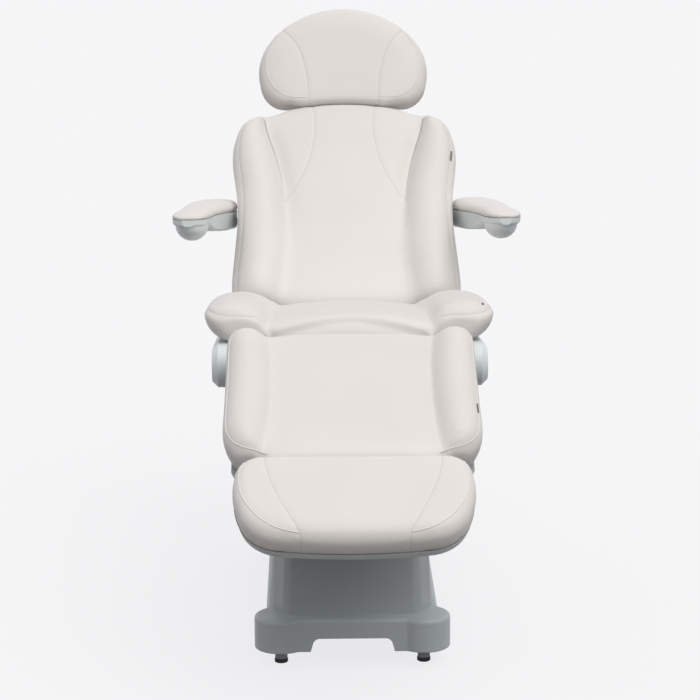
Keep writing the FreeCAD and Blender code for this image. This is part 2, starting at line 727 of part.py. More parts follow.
def back_frame():
    x0, x1 = RAIL_IN - 30, RAIL_IN - 2
    low = BACK_RAIL - 30
    end = BACK_SHOULDER + 4
    guide = end - 30
    cross = (0, BACK_RAIL - CROSS_R - 1)
    arm = [box(x0, x1, cross[0] - 12, end, low, BACK_RAIL),
           link(LUG_IN, LUG_OUT, cross, HINGE_IN_BACK, LUG_R),
           bar(x1 - 2, ARM_INNER - 5, ARM_PIVOT, 14),
           Part.makeCylinder(14, BACK_LENGTH - 15 - guide, V(POST_X, guide, POST_W), V(0, 1, 0))]
    parts = [p for a in arm for p in both(a)]
    parts.append(bar(-LUG_IN, LUG_IN, cross, CROSS_R))
    parts.append(box(-x1, x1, ARM_PIVOT[0] - 16, ARM_PIVOT[0] + 16, low, BACK_RAIL))
    parts.append(box(-x1, x1, guide, end, low, BACK_RAIL))
    pin = local(BACK, world(SEAT, BACK_PIN_AT))
    for x in (-ACT_X - FORK_OUT, -ACT_X + FORK_IN):
        parts.append(link(x, x + FORK_OUT - FORK_IN, cross, pin, 12))
    parts.append(bar(-ACT_X - FORK_OUT, -ACT_X + FORK_OUT, pin, LEVER_PIN))
    bores = [bar(-LUG_OUT - 1, LUG_OUT + 1, HINGE_IN_BACK, PIN_R + RUN)]
    for side in (-1, 1):
        inner = side * (x1 + 12)
        outer = side * (ARM_INNER + 5)
        bores.append(bar(min(inner, outer), max(inner, outer), ARM_PIVOT, ARM_PIN + 0.01))
        bores.append(Part.makeCylinder(POST_R + RUN, 200, V(side * POST_X, guide - 1, POST_W), V(0, 1, 0)))
    return fused(parts).cut(bores)


def back_shell():
    top = BACK_LENGTH - 26
    right = [(226, 30), (232, BACK_SHOULDER), (140, top)]
    corners = right + [(-x, y) for x, y in reversed(right)]
    shell = tray(at_z, corners, 24, [(BACK_RAIL, 0), (BACK_RAIL - 44, 8), (BACK_RAIL - 70, 36)], 4)
    cuts = [box(-LUG_OUT - 20, LUG_OUT + 20, 0, 62, BACK_RAIL - 100, BACK_RAIL + 2),
            box(-300, 300, ARM_PIVOT[0] - 16, ARM_PIVOT[0] + 16, ARM_PIVOT[1] - 16, BACK_RAIL + 2)]
    for x in (-POST_X, POST_X):
        cuts.append(Part.makeCylinder(15, 80, V(x, top - 40, POST_W), V(0, 1, 0)))
    return shell.cut(cuts)


def armrest_pivots():
    return group(both(bar(RAIL_IN + 11, ARM_INNER + 60, ARM_PIVOT, ARM_PIN)))


def head_posts():
    post = Part.makeCylinder(POST_R, 200, V(POST_X, HEAD_PIVOT[0] - 200, POST_W), V(0, 1, 0))
    return fused(both(post) + [bar(-POST_X - 25, POST_X + 25, HEAD_PIVOT, 11)])


def head_outline(w, inset, lift=0.0):
    """Mushroom outline: hollow lower edge, full cheeks and a domed top, drawn in by an inset."""
    kx = (HEAD_HALF - inset) / 208.0
    ky = (HEAD_HEIGHT - 2 * inset) / 262.0
    def p(x, y):
        return (x * kx, inset + lift + y * ky)
    return outline(at_z(w), p(-150, 0), [
        (p(0, 15), p(150, 0)), (p(186, 17), p(203, 55)), (p(207, 100), p(190, 156)),
        (p(160, 196), p(118, 228)), (p(0, 262), p(-118, 228)), (p(-160, 196), p(-190, 156)),
        (p(-207, 100), p(-203, 55)), (p(-186, 17), p(-150, 0))])


def head_cushion():
    levels = [(-HEAD_PAD, 16), (-HEAD_PAD + 22, 3), (-40, 0), (-20, 3), (-7, 16), (0, 52)]
    return loft([head_outline(w, inset) for w, inset in levels])


def head_shell():
    pivot = local(HEAD, world(BACK, HEAD_PIVOT))
    cap = loft([head_outline(-HEAD_PAD, 22), head_outline(-HEAD_PAD - 10, 28), head_outline(-HEAD_PAD - 20, 60)], True)
    lug = box(26, 54, pivot[0] - 16, pivot[0] + 40, pivot[1], -HEAD_PAD - 8)
    eye = bar(26, 54, pivot, 17)
    body = fused([cap] + both(fused([lug, eye])))
    clear = [bar(-58 - 40, -58, pivot, 20), bar(58, 98, pivot, 20), bar(-22, 22, pivot, 14)]
    return body.cut([bar(-100, 100, pivot, 11 + RUN)] + clear)


def arm_edges(at):
    """Inner and outer edge of the armrest at a distance forward of its pivot."""
    part = at / ARM_LENGTH
    inner = [(0, 0), (0.15, 0.08), (0.34, 0.45), (0.53, 0.72), (0.71, 0.84), (0.9, 0.92), (1, 1)]
    outer = [(0, 0), (0.3, 0.2), (0.6, 0.5), (0.85, 0.95), (1, 1)]
    return ARM_INNER + ARM_SWEEP * between(inner, part), ARM_OUTER + ARM_FLARE * between(outer, part)


def armrest_shell():
    under = ARM_TOP - ARM_LIP
    rows = [(-ARM_REAR, 14, 0), (-ARM_REAR + 14, 3, -12), (40, 1, -14), (90, 1, -14), (140, 1, -13), (190, 1, -9),
            (240, 1, 1), (290, 1, under - 2), (340, 2, under), (372, 9, under), (ARM_LENGTH, 28, under)]
    sections = []
    for at, draw, low in rows:
        a, b = arm_edges(at)
        a += draw
        b -= draw
        sections.append(outline(at_y(-at), (a, ARM_TOP), [
            ((b, ARM_TOP),), ((b - 2, low + 4),), ((b - 7, low),),
            ((a + 7, low),), ((a + 2, low + 4),), ((a, ARM_TOP),)]))
    a, b = arm_edges(ARM_HULL)
    round_hull = Part.makeSphere(1.0).transformGeometry(FreeCAD.Matrix(
        (b - a) / 2 - 5, 0, 0, (a + b) / 2, 0, ARM_HULL_REACH, 0, -ARM_HULL, 0, 0, ARM_HULL_DEEP, under, 0, 0, 0, 1))
    hull = round_hull.common(box(a - 20, b + 20, -ARM_LENGTH, 0, -ARM_LENGTH, under + 6))
    body = fused([loft(sections), hull])
    return body.cut(bar(ARM_INNER - 20, ARM_INNER + 61, (0, 0), ARM_PIN + RUN))


def armrest_pad():
    tall = ARM_PAD
    rows = [(-ARM_REAR - 2, 14, tall - 18), (-ARM_REAR + 10, 3, tall - 4), (30, -1, tall), (80, -2, tall - 1),
            (130, -2, tall - 3), (180, -2, tall - 5), (230, -2, tall - 6), (280, -2, tall - 6), (330, 0, tall - 7),
            (370, 8, tall - 13), (ARM_LENGTH + 2, 27, 9)]
    sections = []
    for at, draw, high in rows:
        a, b = arm_edges(at)
        a += draw
        b -= draw
        rim = ARM_TOP + high * 0.62
        sections.append(outline(at_y(-at), (a + 3, ARM_TOP), [
            ((b - 3, ARM_TOP),), ((b, ARM_TOP + high * 0.35), (b - 5, rim)),
            (((a + b) / 2, ARM_TOP + high), (a + 9, ARM_TOP + high * 0.88)),
            ((a, ARM_TOP + high * 0.45), (a + 3, ARM_TOP))]))
    return loft(sections)


def leg_half(at):
    return LEG_HALF * between([(-0.03, 0.977), (0.5, 0.985), (0.93, 1.0)], at)


def leg_seam(at):
    return LEG_HALF * between([(-0.03, 0.668), (0.2, 0.642), (0.4, 0.634), (0.6, 0.64), (0.8, 0.658), (1.0, 0.684)], at)


def leg_cushion():
    base = -LEG_PAD
    rows = [(-0.04, -8, 18, -24, -17), (-0.025, -3, 6, -13, -5), (0.02, 0, 0, -8, 0), (0.2, 0, 0, -8, 0),
            (0.4, 0, 0, -8, 0), (0.6, 0, 0, -8, 0), (0.8, 0, 0, -8, 0), (0.92, 0, 0, -9, -2),
            (0.975, -2, 6, -18, -11), (1.0, -8, 18, -40, -34)]
    body = loft([panel_section(-LEG_LENGTH * at, leg_seam(at) + grow, base + lift, edge, crown)
                 for at, grow, lift, edge, crown in rows])
    return trimmed(body, LEG_HALF, base)


def leg_bolster():
    base = LEG_LEDGE - LEG_PAD
    rise = LEG_BOLSTER_RISE
    rows = [(-0.04, 11, 26, -16, rise - 28), (-0.02, 4, 10, -10, rise - 10), (0.04, 0, 1, -7, rise - 1),
            (0.2, 0, 0, -6, rise), (0.4, 0, 0, -6, rise), (0.6, 0, 0, -6, rise), (0.75, 0, 0, -6, rise - 1),
            (0.84, 5, 2, -8, rise - 5), (0.9, 16, 6, -14, rise - 16), (0.94, 34, 14, -26, rise - 36)]
    sections = []
    for at, draw, lift, rim, crown in rows:
        inner = leg_seam(at) + CURVED_GAP
        outer = leg_half(at) - draw
        foot = inner + (outer - inner) * 0.78
        sections.append(side_section(-LEG_LENGTH * at, inner, foot, outer, base + lift, rim, crown,
                                     min(-9, crown - 14)))
    return trimmed(loft(sections), 2 * LEG_HALF, base)


def leg_frame():
    low = LEG_RAIL - RAIL_DEEP
    end = 22 - LEG_LENGTH
    lever_bar = (10, LEG_RAIL - 17)
    half = [box(LEG_RAIL_IN, LUG_IN, end, 4, low, LEG_RAIL),
            link(LUG_IN, LUG_OUT, (-30, LEG_RAIL - LUG_R - 5), HINGE_IN_LEG, LUG_R)]
    gx = SLIDE_W / 2 + SLIDE_RUN + GUIDE_WALL
    top = LEG_RAIL - BAR_T
    half.append(box(SLIDE_X - gx, SLIDE_X + gx, end, end + 160, top - SLIDE_T - 2 * GUIDE_WALL, top))
    parts = [p for h in half for p in both(h)]
    for y in (end, end + 120):
        parts.append(box(-LEG_RAIL_IN - 5, LEG_RAIL_IN + 5, y, y + 40, top, LEG_RAIL))
    parts.append(bar(-LUG_IN, LUG_IN, lever_bar, 14))
    pin = local(LEG, world(SEAT, LEG_PIN_AT))
    for x in (ACT_X - FORK_OUT, ACT_X + FORK_IN):
        parts.append(link(x, x + FORK_OUT - FORK_IN, lever_bar, pin, 12))
    parts.append(bar(ACT_X - FORK_OUT, ACT_X + FORK_OUT, pin, LEVER_PIN))
    cuts = [bar(-LUG_OUT - 1, LUG_OUT + 1, HINGE_IN_LEG, PIN_R + RUN)]
    sx = SLIDE_W / 2 + SLIDE_RUN
    for x in (-SLIDE_X, SLIDE_X):
        cuts.append(box(x - sx, x + sx, end - 1, end + 161, top - GUIDE_WALL - SLIDE_T, top - GUIDE_WALL))
    return fused(parts).cut(cuts)


def leg_ledge():
    """Ledge of the leg shell that carries one bolster, flared towards its top."""
    def plan(w, half):
        end = 16 - LEG_LENGTH
        return rounded(at_z(w), [(LEDGE_IN, end), (half, end), (half - 2, -50), (LEDGE_IN, -50)], 24)
    return loft([plan(LEG_RAIL, LEG_HALF - 24), plan(LEG_RAIL + LEG_LEDGE, LEG_HALF - 18)], True)


def leg_shell():
    h = LEG_HALF - 24
    low = LEG_RAIL - RAIL_DEEP
    corners = [(-h, 2 - LEG_LENGTH), (h, 2 - LEG_LENGTH), (h - 4, -42), (-h + 4, -42)]
    shell = tray(at_z, corners, 30, [(LEG_RAIL, 0), (low - 4, 8), (low - 14, 22)], 4)
    top = LEG_RAIL - BAR_T
    cuts = [box(-LUG_OUT - 40, LUG_OUT + 40, -80, 0, LEG_RAIL - 20 - RAIL_DEEP - 20, LEG_RAIL + 2)]
    for x in (-SLIDE_X, SLIDE_X):
        cuts.append(box(x - SLIDE_W / 2 - 3, x + SLIDE_W / 2 + 3, -LEG_LENGTH - 10, 40 - LEG_LENGTH,
                        top - GUIDE_WALL - SLIDE_T - 2, top - GUIDE_WALL + 2))
    return fused([shell.cut(cuts)] + both(leg_ledge()))


def foot_rails():
    top = LEG_RAIL - BAR_T - GUIDE_WALL - SLIDE_RUN
    rail = box(SLIDE_X - SLIDE_W / 2, SLIDE_X + SLIDE_W / 2, -LEG_LENGTH - FOOT_LENGTH + 98, 190 - LEG_LENGTH,
               top - SLIDE_T + 2 * SLIDE_RUN, top)
    return group(both(rail))


def foot_outline(w, inset):
    """Foot rest outline: straight rear edge, wide shoulders and a bowed front."""
    k = (FOOT_HALF - inset) / 241.0
    m = (FOOT_LENGTH - 2 * inset) / 230.0
    start = -LEG_LENGTH - PAD_GAP - 0.6 * inset
    def p(x, y):
        return (x * k, start - y * m)
    return outline(at_z(w), p(-190, 0), [
        (p(-224, 14), p(-237, 48)), (p(-240, 95), p(-229, 148)), (p(-200, 198), p(-145, 221)),
        (p(0, 230), p(145, 221)), (p(200, 198), p(229, 148)), (p(240, 95), p(237, 48)),
        (p(224, 14), p(190, 0)), (p(-190, 0),)])


def foot_cushion():
    levels = [(-FOOT_PAD, 5), (-FOOT_PAD + 14, 1), (-34, 0), (-15, 3), (-4, 12), (0, 34)]
    return loft([foot_outline(FOOT_RISE + w, inset) for w, inset in levels])


def foot_shell():
    floor = LEG_RAIL - BAR_T - GUIDE_WALL - SLIDE_RUN
    rim = FOOT_RISE - FOOT_PAD
    outer = loft([foot_outline(rim, 2), foot_outline(rim - 16, 6), foot_outline(rim - 22, 16), foot_outline(floor, 70)],
                 True)
    inner = loft([foot_outline(rim + 1, 6), foot_outline(rim - 16, 10), foot_outline(rim - 20, 20),
                  foot_outline(floor + 4, 73)], True)
    return outer.cut(inner)


def control_box():
    y = COLUMN_Y + 150
    return box(-90, 90, y, y + 150, FRAME_LOW + 4, FRAME_TOP)


def mains_inlet():
    y = FOOT_REAR + BASE_OVER
    body = box(-26, 26, y - 18, y, 68, 98)
    flange = box(-32, 32, y, y + 3, 64, 102)
    socket = box(-15, 15, y - 12, y + 5, 74, 92)
    return fused([body, flange]).cut(socket)


def parts():
    made = {
        "base_frame": base_frame(), "base_cover": base_cover(), "pedestal_cover": pedestal_cover(),
        "column_fixed": column(0, FRAME_TOP, 345), "control_box": control_box(), "mains_inlet": mains_inlet(),
        "column_middle": column(1, MID_LOW, MID_TOP), "middle_sleeve": middle_sleeve(),
        "column_top": column(2, TOP_LOW, HEAD_PLATE), "top_sleeve": top_sleeve(), "lift_head": lift_head(),
        "tilt_pins": tilt_pins(), "tilt_actuator": tilt_actuator(), "tilt_actuator_rod": tilt_actuator_rod(),
    }
    for end, y in (("front", FOOT_FRONT), ("rear", FOOT_REAR)):
        for side, x in (("right", -FOOT_X), ("left", FOOT_X)):
            made[f"foot_stem_{end}_{side}"] = foot_stem(x, y)
            made[f"foot_pad_{end}_{side}"] = foot_pad(x, y)
    seat = {
        "seat_frame": seat_frame(), "seat_pan": seat_pan(), "seat_shell": seat_shell(),
        "seat_cushion": seat_cushion(), "leg_hinge_pins": hinge_pins(LEG_HINGE),
        "back_hinge_pins": hinge_pins(BACK_HINGE),
        "leg_actuator": actuator(ACT_X, LEG_ROD_W, 73 - SEAT_LENGTH, -140, (-140, -85), 1),
        "leg_actuator_rod": actuator_rod(ACT_X, LEG_ROD_W, LEG_PIN_AT[0] - LEG_SLOT_SHIFT, 210 - SEAT_LENGTH),
        "back_actuator": actuator(-ACT_X, BACK_ROD_W, -85, BACK_TAIL, (BACK_TAIL, BACK_TAIL + 43), -1),
        "back_actuator_rod": actuator_rod(-ACT_X, BACK_ROD_W, BACK_PIN_AT[0] - BACK_SLOT_SHIFT, -150),
    }
    back = {"back_frame": back_frame(), "back_shell": back_shell(), "back_cushion": back_cushion(),
            "armrest_pivots": armrest_pivots(), "head_posts": head_posts()}
    head = {"head_shell": head_shell(), "head_cushion": head_cushion()}
    leg = {"leg_frame": leg_frame(), "leg_shell": leg_shell(), "leg_cushion": leg_cushion(),
           "foot_rails": foot_rails(), "foot_shell": foot_shell(), "foot_cushion": foot_cushion()}
    sided = [(SEAT, "seat_bolster", seat_bolster()), (SEAT, "side_cover", side_cover()),
             (BACK, "back_wing", back_wing()), (LEG, "leg_bolster", leg_bolster()),
             (ARM, "armrest_shell", armrest_shell()), (ARM, "armrest_pad", armrest_pad())]
    for fr, some in ((SEAT, seat), (BACK, back), (HEAD, head), (LEG, leg)):
        for name, shape in some.items():
            made[name] = placed(shape, fr)
    for fr, name, shape in sided:
        made[name + "_left"] = placed(shape, fr)
        made[name + "_right"] = placed(mirrored(shape), fr)
    return made


os.makedirs("parts", exist_ok=True)
for name, shape in parts().items():
    shape.translate(V(0, -ORIGIN_Y, 0))
    shape.exportStep(f"parts/{name}.step")
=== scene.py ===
"""Powered treatment chair: soft pads, piping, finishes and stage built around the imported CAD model."""

import json
import math

import bmesh
import bpy
import numpy as np
from bpy.props import FloatProperty, FloatVectorProperty, IntProperty, PointerProperty
from mathutils import Matrix, Vector
from mathutils.bvhtree import BVHTree


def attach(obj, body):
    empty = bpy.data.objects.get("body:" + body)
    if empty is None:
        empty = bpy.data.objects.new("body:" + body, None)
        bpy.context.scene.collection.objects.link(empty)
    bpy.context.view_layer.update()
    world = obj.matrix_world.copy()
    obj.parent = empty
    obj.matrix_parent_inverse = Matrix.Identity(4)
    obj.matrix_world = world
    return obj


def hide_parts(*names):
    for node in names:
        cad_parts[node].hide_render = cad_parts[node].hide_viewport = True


bl_info = {
    "name": "Treatment chair finish",
    "version": (1, 0, 0),
    "blender": (4, 5, 0),
    "location": "View3D > Sidebar > Chair",
    "description": "Pads, piping, finishes and a studio stage for a powered treatment chair",
    "category": "Object",
}

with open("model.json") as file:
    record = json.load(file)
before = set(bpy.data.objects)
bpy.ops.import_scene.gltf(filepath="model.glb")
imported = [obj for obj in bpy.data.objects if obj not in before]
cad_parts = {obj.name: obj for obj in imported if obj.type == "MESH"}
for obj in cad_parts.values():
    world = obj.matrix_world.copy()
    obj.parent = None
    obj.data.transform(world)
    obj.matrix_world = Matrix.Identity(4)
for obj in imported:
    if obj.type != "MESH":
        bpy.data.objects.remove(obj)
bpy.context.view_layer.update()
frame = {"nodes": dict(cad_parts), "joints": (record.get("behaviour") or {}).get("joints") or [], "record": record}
NODES = frame["nodes"]
PIVOT = {joint["name"]: np.array(joint["pos_m"]) for joint in frame["joints"] if "pos_m" in joint}
SLOT_COLOUR = {entry["slot"]: tuple(entry["base_color"]) for entry in frame["record"]["materials"]}
FAR = 0.05
SEAM_SAMPLES = 120
PATH_STEP = 0.003


def mm(rows):
    """Points measured in millimetres, as an array in metres."""
    return np.array(rows, float) * 0.001


class PartAxes:
    """Axes of one part of the chair: x across it, y along it, w out of its face."""

    def __init__(self, pivot, inside, degrees):
        """Turned about X by the angle, so that the row point `pivot` reads as `inside` (y, w)."""
        a = math.radians(degrees)
        self.turn = np.array([[1, 0, 0], [0, math.cos(a), -math.sin(a)], [0, math.sin(a), math.cos(a)]])
        self.origin = np.asarray(pivot, float) - self.turn @ np.array([0.0, *inside])

    def row(self, points):
        return np.asarray(points, float) @ self.turn.T + self.origin

    def own(self, points):
        return (np.asarray(points, float) - self.origin) @ self.turn

    def own_way(self, ways):
        return np.asarray(ways, float) @ self.turn


SEAT = PartAxes(PIVOT["back_recline"], (0.050, -0.070), -6.4)
BACK = PartAxes(PIVOT["back_recline"], (-0.047, -0.053), 47)
LEG = PartAxes(PIVOT["leg_lower"], (0.039, -0.106), 30)
HEAD = PartAxes(BACK.row([0, 0.579, 0]), (0, 0), 60)
ARM = PartAxes(PIVOT["armrest_fold_left"], (0, 0), -5.7)

# Lines on the left half, in each part's own x and y, or x, y and w where the cover stands upright
HEAD_SEAM = mm([(165, 222), (152, 200), (130, 175), (110, 143), (97, 101), (89, 58), (87, 20), (86, -12)])
HEAD_PIPING = mm([(152, 200), (179, 168), (192, 132), (195, 100), (190, 70), (168, 34), (138, 15), (88, 12)])
BACK_SEAM = mm([(79, 590), (74, 550), (71, 503), (77, 447), (91, 389), (115, 337), (148, 287)])
BACK_EDGE = mm([(157, 0), (148, 80), (142, 168), (144, 257), (148, 320), (156, 370), (173, 444), (187, 490),
                (196, 534)])
BACK_CREASE = mm([(147, 300), (156, 370), (173, 444), (187, 490), (196, 534)])
WING_SEAM = mm([(197, 528), (216, 520), (236, 503), (250, 478), (257, 440), (256, 395), (250, 345),
                (245, 290), (246, 220), (251, 140), (258, 60), (260, 10)])
SEAT_EDGE = mm([(172, 0), (175, -130), (177, -260), (179, -330), (180, -372), (180, -412)])
SEAT_EDGE_SEAM = mm([(318, -290, 9), (311, -330, 9), (303, -360, 8), (292, -381, 5), (264, -395, 2),
                     (238, -397, 1), (212, -395, -1), (193, -389, -4), (182, -385, -10)])
NOSE_ARCH = mm([(0, 3), (21, 2), (54, -3), (87, -10), (119, -18), (151, -27), (182, -35)])
LEG_EDGE = mm([(178, 10), (171, -75), (169, -146), (171, -217), (176, -289), (183, -361)])
LEG_PIPING = mm([(236, 8), (251, -18), (259, -60), (262, -134), (262, -215), (261, -280), (256, -310),
                 (243, -333), (216, -350), (182, -362)])
FOOT_SEAM = mm([(182, -360), (180, -379), (172, -437), (150, -504), (129, -552), (110, -590), (100, -626)])
FOOT_PIPING = mm([(222, -392), (229, -425), (228, -460), (221, -495), (207, -525), (187, -553), (157, -576),
                  (109, -592)])


# Where a change of shape starts and where it is full, in metres
LIFT_OVER_BASE = (0.004, 0.02)
SEAM_NEAR = (0.014, 0.007)
CHIN_HEIGHT = (0.1, 0.04)
CHIN_SIDE = (0.19, 0.14)
CHIN_FRONT = (-0.045, -0.01)
DROP_HEIGHT = (0.055, 0.02)
DROP_SIDE = (0.15, 0.09)
NOSE_FOLD = (-0.009, 0.021)
NOSE_FRONT = (-0.362, -0.384)
NOSE_SIDE = (0.184, 0.166)

# Normals out of the face: of loose cover, of the underside, and the part added where a valley is drawn in
LOOSE_NORMAL = (0.1, 0.7)
UNDERSIDE_NORMAL = -0.3
INWARD_RISE = 0.4

# What is held while a pad swells, and the share by which the seat's bolsters are flattened
HELD_LIFT = 0.05
HELD_DEPTH = 0.002
CROWN_SHARE = 0.4

# Bells at the back's upper corners: centre x and y, reach in x and y, height
SHOULDERS = mm([(196, 552, 17, 34, 12), (228, 548, 15, 40, -6)])


def across(line):
    """The line and its mirror image on the other side of the chair."""
    return [line, line * np.array([-1.0, 1.0])]


def smooth_step(low, high, values):
    """0 below low, 1 above high, and the cubic 3t^2 - 2t^3 between them."""
    t = np.clip((values - low) / (high - low), 0, 1)
    return t * t * (3 - 2 * t)


def curve_through(points, count):
    """Smooth line through the points: cubic Hermite pieces spaced by chord length, sampled evenly."""
    points = np.asarray(points, float)
    run = np.concatenate(([0.0], np.cumsum(np.linalg.norm(np.diff(points, axis=0), axis=1))))
    slope = np.gradient(points, run, axis=0)
    t = np.linspace(0, run[-1], count)
    i = np.clip(np.searchsorted(run, t, side="right") - 1, 0, len(run) - 2)
    h = (run[i + 1] - run[i])[:, None]
    u = (t - run[i])[:, None] / h
    start = (1 + 2 * u) * (1 - u) ** 2 * points[i] + u * (1 - u) ** 2 * h * slope[i]
    end = u * u * (3 - 2 * u) * points[i + 1] + u * u * (u - 1) * h * slope[i + 1]
    return start + end


def points_of(mesh):
    flat = np.empty(len(mesh.vertices) * 3, np.float32)
    mesh.vertices.foreach_get("co", flat)
    return flat.reshape(-1, 3).astype(float)


def normals_of(mesh):
    flat = np.empty(len(mesh.vertices) * 3, np.float32)
    mesh.vertex_normals.foreach_get("vector", flat)
    return flat.reshape(-1, 3).astype(float)


def put_points(mesh, points):
    mesh.vertices.foreach_set("co", points.astype(np.float32).ravel())
    mesh.update()


def put_values(mesh, name, values):
    layer = mesh.attributes.new(name, "FLOAT", "POINT")
    layer.data.foreach_set("value", values.astype(np.float32))


def edges_of(mesh):
    flat = np.empty(len(mesh.edges) * 2, np.int32)
    mesh.edges.foreach_get("vertices", flat)
    return flat.reshape(-1, 2)


def shown(name, mesh):
    """New object for the mesh, linked to the scene at the origin."""
    piece = bpy.data.objects.new(name, mesh)
    bpy.context.scene.collection.objects.link(piece)
    return piece


def relaxed(points, edges, rounds, share):
    """Each point moves a share of the way to the mean of its neighbours, round after round."""
    count = len(points)
    a, b = edges[:, 0], edges[:, 1]
    degree = np.bincount(edges.ravel(), minlength=count)[:, None]
    for _ in range(rounds):
        total = np.stack([np.bincount(a, points[b, k], count) + np.bincount(b, points[a, k], count)
                          for k in range(points.shape[1])], axis=1)
        points = points + share * (total / degree - points)
    return points


def skin_of(nodes, name, voxel, overlap):
    """Even skin over CAD pads that are sewn into one: their triangles together, the first one widened
    until its neighbours meet it, remeshed with voxels of one size.
    """
    soup = bmesh.new()
    for node in nodes:
        soup.from_mesh(NODES[node].data)
        if node == nodes[0] and len(nodes) > 1:
            bmesh.ops.scale(soup, vec=(1 + overlap, 1, 1), verts=soup.verts)
    bmesh.ops.remove_doubles(soup, verts=soup.verts, dist=1e-5)
    mesh = bpy.data.meshes.new(name)
    soup.to_mesh(mesh)
    soup.free()
    pad = shown(name, mesh)
    remesh = pad.modifiers.new("Skin", "REMESH")
    remesh.mode = "VOXEL"
    remesh.voxel_size = voxel
    skin = bpy.data.meshes.new_from_object(pad.evaluated_get(bpy.context.evaluated_depsgraph_get()))
    pad.modifiers.clear()
    pad.data = skin
    bpy.data.meshes.remove(mesh)
    return pad


def blown(pad, held, pressure, frames):
    """Points of the pad after some frames of cloth under inner pressure, with no gravity."""
    group = pad.vertex_groups.new(name="held")
    group.add([int(i) for i in np.flatnonzero(held)], 1.0, "REPLACE")
    cloth = pad.modifiers.new("Swell", "CLOTH")
    cloth.settings.quality = 5
    cloth.settings.use_pressure = True
    cloth.settings.uniform_pressure_force = pressure
    cloth.settings.effector_weights.gravity = 0
    cloth.settings.vertex_group_mass = "held"
    scene = bpy.context.scene
    for step in range(1, frames + 1):
        scene.frame_set(step)
    result = pad.evaluated_get(bpy.context.evaluated_depsgraph_get())
    points = points_of(result.data)
    pad.modifiers.remove(cloth)
    pad.vertex_groups.remove(group)
    scene.frame_set(1)
    return points


def line_field(points, line):
    """Signed distance to a line, of points folded to the left half, and the share of the line passed at its
    nearest sample.

    A line of x and y is seen from above, one of x, y and w in space. The sign is the side of the line that
    the point is on from above, and past a line's end it stays positive.
    """
    own = np.column_stack([np.abs(points[:, 0]), points[:, 1:line.shape[1]]])
    samples = curve_through(line, SEAM_SAMPLES)
    along = np.gradient(samples, axis=0)
    along /= np.linalg.norm(along, axis=1, keepdims=True)
    gap = own[:, None, :] - samples[None]
    near = np.argmin((gap ** 2).sum(2), axis=1)
    way = gap[np.arange(len(own)), near]
    heading = along[near]
    side = heading[:, 0] * way[:, 1] - heading[:, 1] * way[:, 0]
    ahead = (heading * way).sum(1)
    past = ((near == 0) & (ahead < 0)) | ((near == SEAM_SAMPLES - 1) & (ahead > 0))
    distance = np.linalg.norm(way, axis=1)
    return np.where(past, distance, np.copysign(distance, side)), near / (SEAM_SAMPLES - 1)


def stepped(share, values):
    """Value at a share of a line, from values at even steps along it."""
    return np.interp(share, np.linspace(0, 1, len(values)), values)


class Seam:
    """Line sewn in a pad, and how much painted shade lies along it, at even steps: where this is above 0, the
    seam's line is painted darker and wider, as the shade in a crease.
    """

    def __init__(self, line, painted_shades=(0, 0)):
        self.line = line
        self.painted_shades = painted_shades


def seam_field(points, seams):
    """Signed distance to the nearest of several seams, the run along that one, and its painted crease shade there.
    """
    offset = np.full(len(points), FAR)
    run = np.zeros(len(points))
    painted_shade_there = np.zeros(len(points))
    for seam in seams:
        signed, share = line_field(points, seam.line)
        closer = np.abs(signed) < np.abs(offset)
        offset = np.where(closer, signed, offset)
        run = np.where(closer, share * np.linalg.norm(np.diff(seam.line, axis=0), axis=1).sum(), run)
        painted_shade_there = np.where(closer, stepped(share, seam.painted_shades), painted_shade_there)
    return offset, run, painted_shade_there


class Valley:
    """Line where two parts of a pad meet, with two values at even steps along it: how far they melt into
    each other, and how deep the cover is drawn down. The draw fades over one width on each side.
    """

    def __init__(self, line, melts, depths, widths):
        self.line = line
        self.melts = melts
        self.depths = depths
        self.widths = widths


class Pad:
    """One pad: its CAD nodes, body and axes, the lines sewn in it and the valleys between its parts."""

    def __init__(self, nodes, body, axes, base, seams=(), valleys=(), form=None, swell=1.0):
        self.nodes = nodes
        self.body = body
        self.axes = axes
        self.base = base
        self.seams = seams
        self.valleys = valleys
        self.form = form
        self.swell = swell


def swollen(piece, pad, points, edges, normals, loose, held):
    """Points after the cover, drawn in a little, is blown up by cloth pressure with its base and valleys
    held. Of the travel, the part straight out of the cover counts; it is capped and evened out.
    """
    look = bpy.context.scene.chair_upholstery
    drawn = points - look.draw_in * loose * normals
    put_points(piece.data, pad.axes.row(drawn))
    moved = pad.axes.own(blown(piece, held, look.pressure, look.frames)) - drawn
    rise = np.clip((moved * normals).sum(1, keepdims=True), 0, look.swell * pad.swell)
    return drawn + loose * normals * relaxed(rise, edges, look.even_rounds, 0.5)


